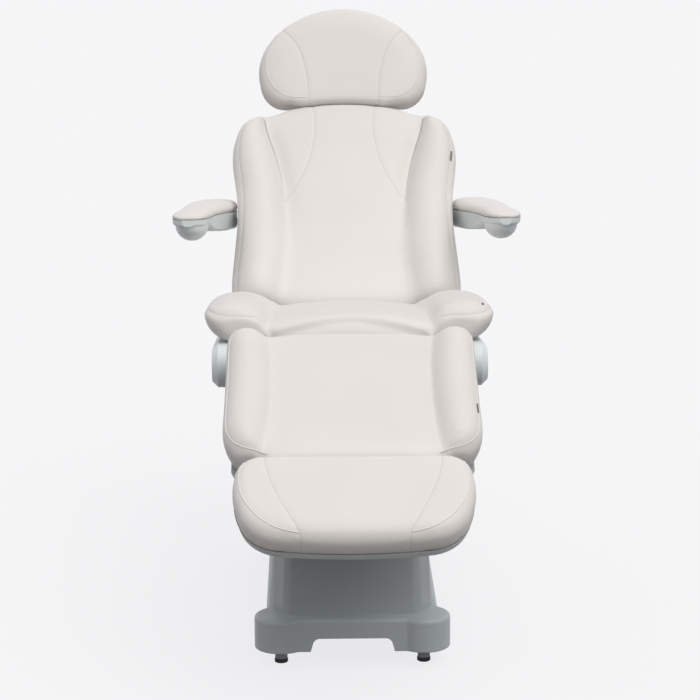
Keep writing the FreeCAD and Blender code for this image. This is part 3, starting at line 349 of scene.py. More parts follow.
def make_pad(pad, name):
    """Pad grown from its CAD solids: an even skin melts together along its valleys, swells under cloth
    pressure, is drawn down along the valleys again, and is sewn along its seams.
    """
    look = bpy.context.scene.chair_upholstery
    piece = skin_of(pad.nodes, name, look.skin_size, look.overlap)
    mesh = piece.data
    edges = edges_of(mesh)
    points = pad.axes.own(points_of(mesh))
    lifted = smooth_step(*LIFT_OVER_BASE, points[:, 2] - pad.base)[:, None]
    points = points + lifted * (relaxed(points, edges, look.relax_rounds, 0.5) - points)
    fields = [line_field(points, valley.line) for valley in pad.valleys]
    for valley, (offset, share) in zip(pad.valleys, fields):
        melt = stepped(share, valley.melts) * np.exp(-(offset / look.melt_width) ** 2)
        points = points + melt[:, None] * lifted * (relaxed(points, edges, look.melt_rounds, 0.5) - points)
    put_points(mesh, pad.axes.row(points))
    normals = pad.axes.own_way(normals_of(mesh))
    loose = smooth_step(*LOOSE_NORMAL, normals[:, 2])[:, None] * lifted
    held = lifted[:, 0] < HELD_LIFT
    for valley, (offset, share) in zip(pad.valleys, fields):
        held |= (np.abs(offset) < look.skin_size) & (stepped(share, valley.depths) > HELD_DEPTH)
    points = swollen(piece, pad, points, edges, normals, loose, held)
    inward = relaxed(normals * np.array([0.0, 1.0, 1.0]) + np.array([0.0, 0.0, INWARD_RISE]), edges, 3, 0.5)
    inward /= np.linalg.norm(inward, axis=1, keepdims=True)
    for valley, (offset, share) in zip(pad.valleys, fields):
        width = np.where(offset > 0, *valley.widths)
        depth = stepped(share, valley.depths) * np.exp(-(offset / width) ** 2)
        points = points - depth[:, None] * lifted * inward
    if pad.form:
        points = pad.form(points)
    put_points(mesh, pad.axes.row(points))
    offset, run, painted_shade_there = seam_field(points, pad.seams)
    offset = np.where(normals[:, 2] < UNDERSIDE_NORMAL, FAR, offset)
    normals = pad.axes.own_way(normals_of(mesh))
    groove = look.seam_depth * np.exp(-(offset / look.seam_width) ** 2)
    put_points(mesh, pad.axes.row(points - groove[:, None] * normals))
    put_values(mesh, "seam_offset", offset)
    put_values(mesh, "seam_run", run)
    # Per point, how much painted crease shade the cover's material puts along the nearest seam.
    put_values(mesh, "painted_crease_shade", painted_shade_there)
    put_values(mesh, "seam_near", smooth_step(*SEAM_NEAR, np.abs(offset)))
    finish_pad(piece, pad.nodes, pad.body)
    return piece


def finish_pad(piece, nodes, body):
    piece.data.materials.append(leatherette())
    piece.data.shade_smooth()
    smooth = piece.modifiers.new("Smooth", "SUBSURF")
    smooth.levels = 1
    smooth.render_levels = 1
    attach(piece, body)
    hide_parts(*nodes)


def mirror_pad(piece, name, node, body):
    """The same pad on the other side: x changes sign and the faces are turned back outwards."""
    mesh = piece.data.copy()
    put_points(mesh, points_of(mesh) * np.array([-1.0, 1.0, 1.0]))
    mesh.flip_normals()
    mesh.materials.clear()
    twin = shown(name, mesh)
    finish_pad(twin, (node,), body)
    return twin


def tube(path, radius, up, sides=10):
    """Round cord along a path: a circle across the path's direction at every point, drawn to nothing
    at both ends by the root of one minus the square of the distance past a short taper.
    """
    along = np.gradient(path, axis=0)
    along /= np.linalg.norm(along, axis=1, keepdims=True)
    side = np.cross(along, up)
    side /= np.linalg.norm(side, axis=1, keepdims=True)
    out = np.cross(side, along)
    run = np.concatenate(([0.0], np.cumsum(np.linalg.norm(np.diff(path, axis=0), axis=1))))
    near_end = np.clip(np.minimum(run, run[-1] - run) / (2 * radius), 0, 1)
    reach = radius * np.sqrt(np.maximum(1 - (1 - near_end) ** 2, 0.01))
    turn = np.linspace(0, 2 * math.pi, sides, endpoint=False)
    ring = np.cos(turn)[None, :, None] * side[:, None] + np.sin(turn)[None, :, None] * out[:, None]
    points = (path[:, None] + reach[:, None, None] * ring).reshape(-1, 3)
    rows = np.arange(len(path) - 1)[:, None] * sides
    k = np.arange(sides)[None]
    nxt = (k + 1) % sides
    quads = np.stack([rows + k, rows + nxt, rows + sides + nxt, rows + sides + k], axis=2).reshape(-1, 4)
    caps = [list(range(sides))[::-1], list(range(len(points) - sides, len(points)))]
    return points, quads.tolist() + caps


def surface_tree(piece):
    return BVHTree.FromObject(piece, bpy.context.evaluated_depsgraph_get())


def on_surface(tree, axes, flat, height):
    """Points and normals of a pad nearest to a flat line held at one height over the part's face."""
    line = axes.row(np.column_stack([flat, np.full(len(flat), height)]))
    hits = [tree.find_nearest(Vector(point)) for point in line]
    return np.array([hit[0] for hit in hits]), np.array([hit[1] for hit in hits])


def softened(path, rounds=6):
    """Path with each inner point moved half way to the mean of its neighbours, round after round."""
    for _ in range(rounds):
        path = path.copy()
        path[1:-1] += 0.5 * ((path[:-2] + path[2:]) / 2 - path[1:-1])
    return path


def make_piping(name, piece, axes, line, height, body, radius):
    """Piping sewn on a pad: a round cord along the pad's points nearest to a line, most of it sunk in."""
    length = np.linalg.norm(np.diff(line, axis=0), axis=1).sum()
    flat = curve_through(line, max(12, int(length / PATH_STEP)))
    points, normals = on_surface(surface_tree(piece), axes, flat, height)
    path = softened(points + 0.1 * radius * normals)
    up = softened(normals, 20)
    vertices, faces = tube(path, radius, up)
    mesh = bpy.data.meshes.new(name)
    mesh.from_pydata(vertices.tolist(), [], faces)
    mesh.update()
    mesh.shade_smooth()
    mesh.materials.append(piping_leather())
    cord = shown(name, mesh)
    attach(cord, body)
    return cord


def label(name, piece, axes, centre, height, size, turn, body):
    """Blank sewn tag: a grid laid on the pad, bowed up in the middle of its width, and given the thickness of
    cloth.
    """
    width, length = size
    u = np.linspace(-1, 1, 9)
    v = np.linspace(-1, 1, 21)
    across_tag, along_tag = np.meshgrid(u * width / 2, v * length / 2)
    c, s = math.cos(turn), math.sin(turn)
    flat = np.stack([centre[0] + c * across_tag - s * along_tag,
                     centre[1] + s * across_tag + c * along_tag], axis=2).reshape(-1, 2)
    points, normals = on_surface(surface_tree(piece), axes, flat, height)
    bow = 0.0008 + 0.0010 * (1 - np.tile(u ** 2, len(v)))
    points = points + bow[:, None] * normals
    rows = np.arange(len(v) - 1)[:, None] * len(u)
    k = np.arange(len(u) - 1)[None]
    start = rows + k
    quads = np.stack([start, start + 1, start + 1 + len(u), start + len(u)], axis=2).reshape(-1, 4)
    mesh = bpy.data.meshes.new(name)
    mesh.from_pydata(points.tolist(), [], quads.tolist())
    mesh.update()
    mesh.shade_smooth()
    mesh.materials.append(tag_weave())
    tag = shown(name, mesh)
    wall = tag.modifiers.new("Cloth thickness", "SOLIDIFY")
    wall.thickness = 0.0012
    wall.offset = 0
    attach(tag, body)
    return tag


class Nodes:
    """Node tree with short ways to add a node, set its sockets and link them."""

    def __init__(self, tree):
        self.tree = tree

    def add(self, kind, sockets=None, **settings):
        node = self.tree.nodes.new(kind)
        for key, value in settings.items():
            setattr(node, key, value)
        for key, value in (sockets or {}).items():
            if isinstance(value, bpy.types.NodeSocket):
                self.tree.links.new(value, node.inputs[key])
            else:
                node.inputs[key].default_value = value
        return node

    def join(self, source, target):
        self.tree.links.new(source, target)

    def math(self, operation, a, b=0.0):
        return self.add("ShaderNodeMath", {0: a, 1: b}, operation=operation).outputs[0]

    def span(self, value, low, high, to_low, to_high):
        sockets = {"Value": value, "From Min": low, "From Max": high, "To Min": to_low, "To Max": to_high}
        return self.add("ShaderNodeMapRange", sockets).outputs[0]

    def tint(self, factor, a, b):
        node = self.add("ShaderNodeMix", data_type="RGBA")
        for socket, value in zip((node.inputs[0], node.inputs[6], node.inputs[7]), (factor, a, b)):
            if isinstance(value, bpy.types.NodeSocket):
                self.join(value, socket)
            else:
                socket.default_value = value
        return node.outputs[2]


def node_group(name, inputs, outputs):
    """Shader node group with float or vector sockets; returns its nodes, input and output."""
    tree = bpy.data.node_groups.new(name, "ShaderNodeTree")
    for direction, sockets in (("INPUT", inputs), ("OUTPUT", outputs)):
        for socket, kind in sockets:
            tree.interface.new_socket(socket, in_out=direction, socket_type="NodeSocket" + kind)
    nodes = Nodes(tree)
    return nodes, nodes.add("NodeGroupInput").outputs, nodes.add("NodeGroupOutput").inputs


def grain_group():
    """Fine cell grain with pores between the cells, and a slow change of tone over the surface."""
    if "Surface grain" in bpy.data.node_groups:
        return bpy.data.node_groups["Surface grain"]
    inputs = [("Vector", "Vector"), ("Cells", "Float"), ("Tone size", "Float")]
    nodes, given, put = node_group("Surface grain", inputs, [("Height", "Float"), ("Tone", "Float")])
    cells = nodes.add("ShaderNodeTexVoronoi", {"Vector": given["Vector"], "Scale": given["Cells"]})
    small = nodes.math("MULTIPLY", given["Cells"], 2.3)
    fine = nodes.add("ShaderNodeTexNoise", {"Vector": given["Vector"], "Scale": small, "Detail": 3.0})
    slow = nodes.add("ShaderNodeTexNoise", {"Vector": given["Vector"], "Scale": given["Tone size"],
                                            "Detail": 4.0})
    height = nodes.math("ADD", nodes.math("MULTIPLY", cells.outputs["Distance"], -0.7),
                        nodes.math("MULTIPLY", fine.outputs[0], 0.3))
    nodes.join(height, put["Height"])
    nodes.join(nodes.span(slow.outputs[0], 0.3, 0.7, 0.0, 1.0), put["Tone"])
    return nodes.tree


def seam_group():
    """Sewn seam from the signed distance to it: a thin line, which the cover's material paints dark for the seam's
    joint and the shade in its groove (painted shade), a rounded trough and stitch puckers, where the mask Near is
    not 0.
    """
    if "Sewn seam" in bpy.data.node_groups:
        return bpy.data.node_groups["Sewn seam"]
    inputs = [(name, "Float") for name in ("Offset", "Run", "Near", "Half width")]
    nodes, given, put = node_group("Sewn seam", inputs, [("Line", "Float"), ("Height", "Float")])
    distance = nodes.math("ABSOLUTE", given["Offset"])
    sockets = {"Value": distance, "From Max": given["Half width"], "To Min": 1.0, "To Max": 0.0}
    line = nodes.add("ShaderNodeMapRange", sockets, interpolation_type="SMOOTHSTEP")
    trough = nodes.span(distance, 0.0, 0.0045, 0.0, 1.0)
    wave = nodes.math("SINE", nodes.math("MULTIPLY", given["Run"], 1570.0))
    pucker = nodes.math("MULTIPLY", wave, nodes.span(distance, 0.0008, 0.006, 0.10, 0.0))
    drop = nodes.math("SUBTRACT", 1.0, nodes.math("ADD", nodes.math("POWER", trough, 0.6), pucker))
    nodes.join(nodes.math("MULTIPLY", line.outputs[0], given["Near"]), put["Line"])
    nodes.join(nodes.math("SUBTRACT", 1.0, nodes.math("MULTIPLY", drop, given["Near"])), put["Height"])
    return nodes.tree


def new_material(name):
    material = bpy.data.materials.new(name)
    material.use_nodes = True
    nodes = Nodes(material.node_tree)
    shader = material.node_tree.nodes["Principled BSDF"]
    return material, nodes, shader


def grained(nodes, cells, tone_size):
    place = nodes.add("ShaderNodeTexCoord").outputs["Object"]
    group = nodes.add("ShaderNodeGroup", node_tree=grain_group())
    nodes.join(place, group.inputs["Vector"])
    group.inputs["Cells"].default_value = cells
    group.inputs["Tone size"].default_value = tone_size
    return group.outputs["Height"], group.outputs["Tone"]


def shade(colour, by):
    """The colour with each channel multiplied, as an opaque value."""
    return (*[min(1.0, c * b) for c, b in zip(colour, by)], 1.0)


def grain_finish(name, colour, cells, depth, rough, tone=0.95, metallic=0.0):
    """Finish with a fine grain in its bump, a slow change of tone and of roughness."""
    if name in bpy.data.materials:
        return bpy.data.materials[name]
    material, nodes, shader = new_material(name)
    height, slow = grained(nodes, cells, 5.0)
    toned = nodes.tint(slow, shade(colour, (tone,) * 3), shade(colour, (1,) * 3))
    nodes.join(toned, shader.inputs["Base Color"])
    nodes.join(nodes.span(slow, 0.0, 1.0, rough[0], rough[1]), shader.inputs["Roughness"])
    bump = nodes.add("ShaderNodeBump", {"Height": height, "Strength": 0.35, "Distance": depth})
    nodes.join(bump.outputs[0], shader.inputs["Normal"])
    shader.inputs["Metallic"].default_value = metallic
    return material


def leatherette():
    """Matte coated fabric: leather grain, warm and cool patches, and a trough along every seam, down which a dark
    line is painted for the seam's joint and the shade in its groove; along the back's crease the line is painted
    darker and wider as painted crease shade.
    """
    if "Leatherette" in bpy.data.materials:
        return bpy.data.materials["Leatherette"]
    look = bpy.context.scene.chair_upholstery
    material, nodes, shader = new_material("Leatherette")
    height, slow = grained(nodes, 780.0, 7.0)
    seam = nodes.add("ShaderNodeGroup", node_tree=seam_group())
    # Painted shade: how much the seam's line is painted wider and darker, as the shade in a crease.
    deep = nodes.add("ShaderNodeAttribute", attribute_name="painted_crease_shade").outputs["Fac"]
    for socket, name in (("Offset", "seam_offset"), ("Run", "seam_run"), ("Near", "seam_near")):
        nodes.join(nodes.add("ShaderNodeAttribute", attribute_name=name).outputs["Fac"], seam.inputs[socket])
    nodes.join(nodes.span(deep, 0.0, 1.0, 0.0011, 0.0032), seam.inputs["Half width"])
    skin = nodes.tint(slow, shade(look.colour, (0.975, 0.97, 0.96)), shade(look.colour, (1, 1, 1)))
    # Darkening along the seam line: the seam's joint and painted shade in its groove, stronger where the painted
    # crease shade is high.
    sewn = nodes.math("MULTIPLY", seam.outputs["Line"], nodes.span(deep, 0.0, 1.0, 0.4, 0.9))
    nodes.join(nodes.tint(sewn, skin, shade(look.colour, (0.5, 0.47, 0.45))), shader.inputs["Base Color"])
    nodes.join(nodes.span(slow, 0.0, 1.0, 0.46, 0.54), shader.inputs["Roughness"])
    grain = nodes.add("ShaderNodeBump", {"Height": height, "Strength": 0.22, "Distance": 0.0004})
    trough = nodes.add("ShaderNodeBump", {"Height": seam.outputs["Height"], "Normal": grain.outputs[0],
                                          "Strength": 0.5, "Distance": 0.0012})
    nodes.join(trough.outputs[0], shader.inputs["Normal"])
    return material


def piping_leather():
    look = bpy.context.scene.chair_upholstery
    return grain_finish("Piping leatherette", tuple(look.piping_colour), 1100.0, 0.0003, (0.40, 0.48), 0.985)


def tag_weave():
    return grain_finish("Tag weave", (0.22, 0.21, 0.205), 1500.0, 0.0004, (0.7, 0.8), 0.8)


def cover_plastic(name="Moulded cover plastic", by=1.0):
    colour = shade(bpy.context.scene.chair_finishes.plastic, (by, by, by))[:3]
    return grain_finish(name, colour, 1500.0, 0.00025, (0.36, 0.46), 0.96)


# Painted light: the cover plastic painted lighter for the armrest shells and side covers, which stand in more
# light.
def painted_light_plastic():
    return cover_plastic("Pale cover plastic", bpy.context.scene.chair_finishes.pale)


# Painted shade: the cover plastic painted darker for the pedestal covers and sleeves, which stand in the chair's
# shade.
def painted_shade_plastic():
    return cover_plastic("Deep cover plastic", bpy.context.scene.chair_finishes.deep)


def frame_paint():
    colour = tuple(bpy.context.scene.chair_finishes.paint)
    return grain_finish("Powder coated frame", colour, 420.0, 0.0005, (0.42, 0.52), 0.9)


def black_plastic():
    colour = SLOT_COLOUR["black_plastic"]
    return grain_finish("Black housing plastic", colour, 1200.0, 0.0003, (0.45, 0.6), 0.8)


def foot_rubber():
    return grain_finish("Foot rubber", SLOT_COLOUR["foot_rubber"], 900.0, 0.0005, (0.7, 0.85), 0.7)


def drawn_metal(name, colour, stretch, rough):
    """Metal with fine drawing lines: noise squeezed across them, in its bump and roughness."""
    if name in bpy.data.materials:
        return bpy.data.materials[name]
    material, nodes, shader = new_material(name)
    place = nodes.add("ShaderNodeTexCoord").outputs["Object"]
    lines = nodes.add("ShaderNodeMapping", {"Vector": place, "Scale": stretch})
    drawn = nodes.add("ShaderNodeTexNoise", {"Vector": lines.outputs[0], "Scale": 60.0, "Detail": 3.0})
    slow = grained(nodes, 300.0, 9.0)[1]
    toned = nodes.tint(slow, shade(colour, (0.9,) * 3), shade(colour, (1,) * 3))
    nodes.join(toned, shader.inputs["Base Color"])
    nodes.join(nodes.span(drawn.outputs[0], 0.3, 0.7, rough[0], rough[1]), shader.inputs["Roughness"])
    bump = nodes.add("ShaderNodeBump", {"Height": drawn.outputs[0], "Strength": 0.2, "Distance": 0.0002})
    nodes.join(bump.outputs[0], shader.inputs["Normal"])
    shader.inputs["Metallic"].default_value = 1.0
    return material


def column_alloy():
    return drawn_metal("Anodised column alloy", SLOT_COLOUR["column_alloy"], (40.0, 40.0, 1.0), (0.34, 0.5))


def dark_steel():
    return drawn_metal("Blackened steel", (0.11, 0.12, 0.13), (30.0, 30.0, 1.0), (0.38, 0.5))


def pin_steel():
    return drawn_metal("Ground steel", SLOT_COLOUR["steel"], (1.0, 30.0, 30.0), (0.22, 0.4))


def pan_board():
    """Plywood: growth bands from a stretched wave, with fine pores."""
    if "Pan plywood" in bpy.data.materials:
        return bpy.data.materials["Pan plywood"]
    colour = SLOT_COLOUR["pan_board"]
    material, nodes, shader = new_material("Pan plywood")
    place = nodes.add("ShaderNodeTexCoord").outputs["Object"]
    wide = nodes.add("ShaderNodeMapping", {"Vector": place, "Scale": (1.0, 0.15, 1.0)})
    bands = nodes.add("ShaderNodeTexWave", {"Vector": wide.outputs[0], "Scale": 9.0, "Distortion": 6.0,
                                            "Detail": 3.0})
    height, slow = grained(nodes, 700.0, 12.0)
    nodes.join(nodes.tint(bands.outputs["Fac"], shade(colour, (0.8, 0.76, 0.7)), shade(colour, (1, 1, 1))),
               shader.inputs["Base Color"])
    nodes.join(nodes.span(slow, 0.0, 1.0, 0.55, 0.7), shader.inputs["Roughness"])
    bump = nodes.add("ShaderNodeBump", {"Height": height, "Strength": 0.3, "Distance": 0.0003})
    nodes.join(bump.outputs[0], shader.inputs["Normal"])
    return material


def seen_directly(nodes):
    """1 for rays from the camera, reflections and glass, and 0 for those that only carry light."""
    path = nodes.add("ShaderNodeLightPath").outputs
    bent = nodes.math("MAXIMUM", path["Is Glossy Ray"], path["Is Transmission Ray"])
    return nodes.math("MAXIMUM", path["Is Camera Ray"], bent)


def pale_ground():
    """Floor: seen by the camera and in reflections it is pale with a soft shadow, and it throws little
    light back up at the chair.
    """
    stage = bpy.context.scene.chair_stage
    material, nodes, shader = new_material("Studio floor")
    nodes.tree.nodes.remove(shader)
    out = nodes.tree.nodes["Material Output"]
    lit = nodes.add("ShaderNodeBsdfDiffuse", {"Color": (*stage.floor_lit, 1.0)})
    glow = nodes.add("ShaderNodeEmission", {"Color": (*stage.floor_glow, 1.0), "Strength": 1.0})
    pale = nodes.add("ShaderNodeAddShader")
    nodes.join(lit.outputs[0], pale.inputs[0])
    nodes.join(glow.outputs[0], pale.inputs[1])
    dim = nodes.add("ShaderNodeBsdfDiffuse", {"Color": (*stage.floor_bounce, 1.0)})
    choice = nodes.add("ShaderNodeMixShader", {0: seen_directly(nodes)})
    nodes.join(dim.outputs[0], choice.inputs[1])
    nodes.join(pale.outputs[0], choice.inputs[2])
    nodes.join(choice.outputs[0], out.inputs[0])
    return material


class ChairUpholstery(bpy.types.PropertyGroup):
    """Sizes and colours of the pads and their piping."""

    skin_size: FloatProperty(name="Skin size", description="Voxel size of a pad's skin", default=0.0055,
                             min=0.003, max=0.01, unit="LENGTH")
    overlap: FloatProperty(name="Overlap",
                           description="Share by which a middle part is widened to meet its sides",
                           default=0.026, min=0, max=0.1, subtype="FACTOR")
    relax_rounds: IntProperty(name="Relax rounds", description="How often a new skin is evened out",
                              default=6, min=0, max=40)
    melt_width: FloatProperty(name="Melt width",
                              description="Half width over which two parts melt together", default=0.03,
                              min=0.001, max=0.1, unit="LENGTH")
    melt_rounds: IntProperty(name="Melt rounds",
                             description="How often the skin is evened out along a valley", default=40,
                             min=0, max=200)
    draw_in: FloatProperty(name="Draw in", description="How far a pad's face is drawn in before it swells",
                           default=0.0015, min=0, max=0.02, unit="LENGTH")
    swell: FloatProperty(name="Swell", description="Most that a pad's face moves while it swells",
                         default=0.005, min=0, max=0.03, unit="LENGTH")
    even_rounds: IntProperty(name="Even rounds", description="How often the swell is evened out",
                             default=90, min=0, max=200)
    chin: FloatProperty(name="Chin", description="How much of the head cushion's lower rounding is filled",
                        default=0.7, min=0, max=1, subtype="FACTOR")
    chin_drop: FloatProperty(name="Chin drop",
                             description="How far the middle of the head cushion's edge goes down",
                             default=0.015, min=0, max=0.03, unit="LENGTH")
    shoulder: FloatProperty(name="Shoulder",
                            description="Share of the change of shape at the back's upper corners",
                            default=1.0, min=0, max=2, subtype="FACTOR")
    crown_level: FloatProperty(name="Crown level",
                               description="Height from which the seat's bolsters are flattened",
                               default=0.016, min=0, max=0.05, unit="LENGTH")
    nose_depth: FloatProperty(name="Nose depth", description="How far the seat's front face is drawn back",
                              default=0.014, min=0, max=0.03, unit="LENGTH")
    pressure: FloatProperty(name="Pressure", description="Pressure of the filling on the cover",
                            default=4.0, min=0, max=20)
    frames: IntProperty(name="Frames", description="Frames of cloth for each pad", default=20, min=1,
                        max=60)
    fill: FloatProperty(name="Fill", description="How tightly the pads are filled", default=0.85, min=0,
                        max=1, subtype="FACTOR")
    seam_depth: FloatProperty(name="Seam depth", description="Depth of the dip along a seam",
                              default=0.0011, min=0, max=0.01, unit="LENGTH")
    seam_width: FloatProperty(name="Seam width", description="Half width of the dip along a seam",
                              default=0.0045, min=0.001, max=0.02, unit="LENGTH")
    piping_radius: FloatProperty(name="Piping radius", description="Radius of the piping cord",
                                 default=0.0012, min=0.0005, max=0.01, unit="LENGTH")
    colour: FloatVectorProperty(name="Cover colour", description="Colour of the leatherette",
                                subtype="COLOR", default=SLOT_COLOUR["upholstery"], min=0, max=1)
    piping_colour: FloatVectorProperty(name="Piping colour", description="Colour of the piping",
                                       subtype="COLOR", default=(0.81, 0.785, 0.765), min=0, max=1)


class ChairFinishes(bpy.types.PropertyGroup):
    """Colours of the hard parts."""

    plastic: FloatVectorProperty(name="Cover plastic", description="Colour of the moulded covers",
                                 subtype="COLOR", default=SLOT_COLOUR["cover_plastic"], min=0, max=1)
    # Painted light: how much lighter the armrest shells and side covers are painted than the cover plastic.
    pale: FloatProperty(name="Painted light on plastic",
                        description="Tone of the armrest and side covers against the others", default=1.7,
                        min=0, max=3)
    # Painted shade: how much darker the pedestal covers and sleeves are painted than the cover plastic.
    deep: FloatProperty(name="Painted shade on plastic", description="Tone of the pedestal covers against the others",
                        default=0.68, min=0, max=3)
    paint: FloatVectorProperty(name="Frame paint", description="Colour of the steel frames",
                               subtype="COLOR", default=SLOT_COLOUR["frame_paint"], min=0, max=1)


class ChairStage(bpy.types.PropertyGroup):
    """Floor, lamps and sky of the studio."""

    floor_size: FloatProperty(name="Floor size", description="Length of the floor's sides", default=80.0,
                              min=4, unit="LENGTH")
    floor_lit: FloatVectorProperty(name="Floor",
                                   description="Part of the floor's colour that takes shadows",
                                   subtype="COLOR", default=(0.13, 0.13, 0.13), min=0, max=1)
    floor_glow: FloatVectorProperty(name="Floor lift",
                                    description="Part of the floor's colour that takes none",
                                    subtype="COLOR", default=(0.79, 0.79, 0.805), min=0, max=1)
    floor_bounce: FloatVectorProperty(name="Floor bounce",
                                      description="Colour that the floor throws on the chair",
                                      subtype="COLOR", default=(0.13, 0.125, 0.12), min=0, max=1)
    backdrop: FloatVectorProperty(name="Backdrop", description="Colour behind the chair", subtype="COLOR",
                                  default=(0.913, 0.913, 0.93), min=0, max=1)
    sky: FloatProperty(name="Sky", description="Strength of the light from all round", default=0.62, min=0,
                       max=5)
    key: FloatProperty(name="Key", description="Strength of the main lamp", default=1.35, min=0, max=20)
    key_angle: FloatProperty(name="Key angle", description="Width of the main lamp seen from the chair",
                             default=math.radians(50), min=0, max=math.pi, subtype="ANGLE")


def back_shoulder(points):
    """Back cushion with its upper corners filled and its wing tips lowered: bells, each with a centre, a
    reach across and along the back and a height, move the cover along the back.
    """
    own_x, own_y = np.abs(points[:, 0]), points[:, 1]
    rise = np.zeros(len(points))
    for x, y, reach_x, reach_y, height in SHOULDERS:
        rise += height * np.exp(-((own_x - x) / reach_x) ** 2 - ((own_y - y) / reach_y) ** 2)
    rise *= bpy.context.scene.chair_upholstery.shoulder
    return points + rise[:, None] * np.array([0.0, 1.0, 0.3])


def head_chin(points):
    """Head cushion with a tight lower edge: the front of its rounding goes a share of the way forward to the
    level of the face, and the middle of the edge goes down to the back's upper edge.
    """
    look = bpy.context.scene.chair_upholstery
    x, y, w = np.abs(points[:, 0]), points[:, 1], points[:, 2]
    low = smooth_step(*CHIN_HEIGHT, y) * smooth_step(*CHIN_SIDE, x)
    ahead = look.chin * low * smooth_step(*CHIN_FRONT, w) * (w.max() - w)
    down = look.chin_drop * smooth_step(*DROP_HEIGHT, y) * smooth_step(*DROP_SIDE, x)
    return points + np.stack([0 * x, -down, ahead], axis=1)


def seat_nose(points):
    """Seat cushion with flattened bolsters and its front face drawn back under an arched edge.

    Heights over the crown level keep a share of what they were. The front face goes back by nothing at the
    arch, and by the full depth a short way below it, between the inner corners of the bolsters.
    """
    look = bpy.context.scene.chair_upholstery
    x = np.abs(points[:, 0])
    flat = CROWN_SHARE * np.maximum(points[:, 2] - look.crown_level, 0)
    below = smooth_step(*NOSE_FOLD, np.interp(x, *NOSE_ARCH.T) - points[:, 2])
    front = smooth_step(*NOSE_FRONT, points[:, 1]) * smooth_step(*NOSE_SIDE, x)
    return points + np.stack([0 * x, look.nose_depth * below * front, -flat], axis=1)


PADS = {
    "head": Pad(("head_cushion",), "headrest", HEAD, -0.085, (Seam(HEAD_SEAM),), form=head_chin, swell=0.7),
    "back": Pad(("back_cushion", "back_wing_left", "back_wing_right"), "back", BACK, -0.095,
                # Along the back's crease the seam line is painted darker and wider towards the top: painted shade
                # in the crease.
                (Seam(BACK_SEAM), Seam(WING_SEAM), Seam(BACK_CREASE, (0, 0.4, 0.8, 1, 1))),
                [Valley(BACK_EDGE, (1, 1, 0.9, 0.5, 0.1, 0.1, 0.7), mm((0, 0, 1, 4, 10, 11, 5)),
                        mm((23, 7)))],
                back_shoulder),
    "arm": Pad(("armrest_pad_left",), "armrest_left", ARM, 0.028, swell=0.5),
    "seat": Pad(("seat_cushion", "seat_bolster_left", "seat_bolster_right"), "seat", SEAT, -0.085,
                (Seam(SEAT_EDGE_SEAM),),
                [Valley(SEAT_EDGE, (1, 1, 1, 0.8, 0.3, 0), mm((-10, -7, -2, 2, 4, 6)), mm((16, 12)))],
                seat_nose),
    "leg": Pad(("leg_cushion", "leg_bolster_left", "leg_bolster_right"), "legrest", LEG, -0.095, (),
               [Valley(LEG_EDGE, (0.8, 0.6, 0.5, 0.5, 0.6, 0.7), mm((2, 2, 2, 2, 2, 2)), mm((8, 6)))]),
    "foot": Pad(("foot_cushion",), "footrest", LEG, -0.044, (Seam(FOOT_SEAM),)),
}


class ChairOperator:
    """Shared words of the operators that make one group of pieces."""

    bl_options = {"REGISTER"}


class CHAIR_OT_head_pad(ChairOperator, bpy.types.Operator):
    """Head cushion with its two curved seams and the piping round its cheeks"""

    bl_idname = "chair.head_pad"
    bl_label = "Head cushion"

    def execute(self, context):
        radius = context.scene.chair_upholstery.piping_radius
        pad = make_pad(PADS["head"], "head_pad")
        for side, line in zip(("left", "right"), across(HEAD_PIPING)):
            make_piping("head_piping_" + side, pad, HEAD, line, 0.0, "headrest", radius)
        return {"FINISHED"}


class CHAIR_OT_back_pads(ChairOperator, bpy.types.Operator):
    """Back cushion with its two curved seams, and the raised wing on each side of it"""

    bl_idname = "chair.back_pads"
    bl_label = "Back cushions"

    def execute(self, context):
        pad = make_pad(PADS["back"], "back_pad")
        label("back_tag", pad, BACK, mm((261, 405)), 0.01, mm((7, 27)), -0.12, "back")
        return {"FINISHED"}


class CHAIR_OT_armrest_pads(ChairOperator, bpy.types.Operator):
    """Saddle shaped pad on each armrest"""

    bl_idname = "chair.armrest_pads"
    bl_label = "Armrest pads"

    def execute(self, context):
        pad = make_pad(PADS["arm"], "armrest_cushion_left")
        mirror_pad(pad, "armrest_cushion_right", "armrest_pad_right", "armrest_right")
        return {"FINISHED"}


class CHAIR_OT_seat_pads(ChairOperator, bpy.types.Operator):
    """Seat cushion with its drooping nose, and the raised bolster on each side of it"""

    bl_idname = "chair.seat_pads"
    bl_label = "Seat cushions"

    def execute(self, context):
        pad = make_pad(PADS["seat"], "seat_pad")
        label("seat_tag", pad, SEAT, mm((297, -352)), 0.03, mm((6, 12)), 0.0, "seat")
        return {"FINISHED"}


class CHAIR_OT_leg_pads(ChairOperator, bpy.types.Operator):
    """Leg cushion, and the raised bolster with piping on each side of it"""

    bl_idname = "chair.leg_pads"
    bl_label = "Leg cushions"

    def execute(self, context):
        radius = context.scene.chair_upholstery.piping_radius
        pad = make_pad(PADS["leg"], "leg_pad")
        for side, line in zip(("left", "right"), across(LEG_PIPING)):
            make_piping("leg_piping_" + side, pad, LEG, line, 0.004, "legrest", radius)
        label("leg_tag", pad, LEG, mm((262, -240)), 0.01, mm((8, 24)), 0.0, "legrest")
        return {"FINISHED"}


class CHAIR_OT_foot_pad(ChairOperator, bpy.types.Operator):
    """Foot cushion with two seams and the piping round its corners"""

    bl_idname = "chair.foot_pad"
    bl_label = "Foot cushion"

    def execute(self, context):
        radius = context.scene.chair_upholstery.piping_radius
        pad = make_pad(PADS["foot"], "foot_pad")
        for side, line in zip(("left", "right"), across(FOOT_PIPING)):
            make_piping("foot_piping_" + side, pad, LEG, line, 0.012, "footrest", radius)
        return {"FINISHED"}


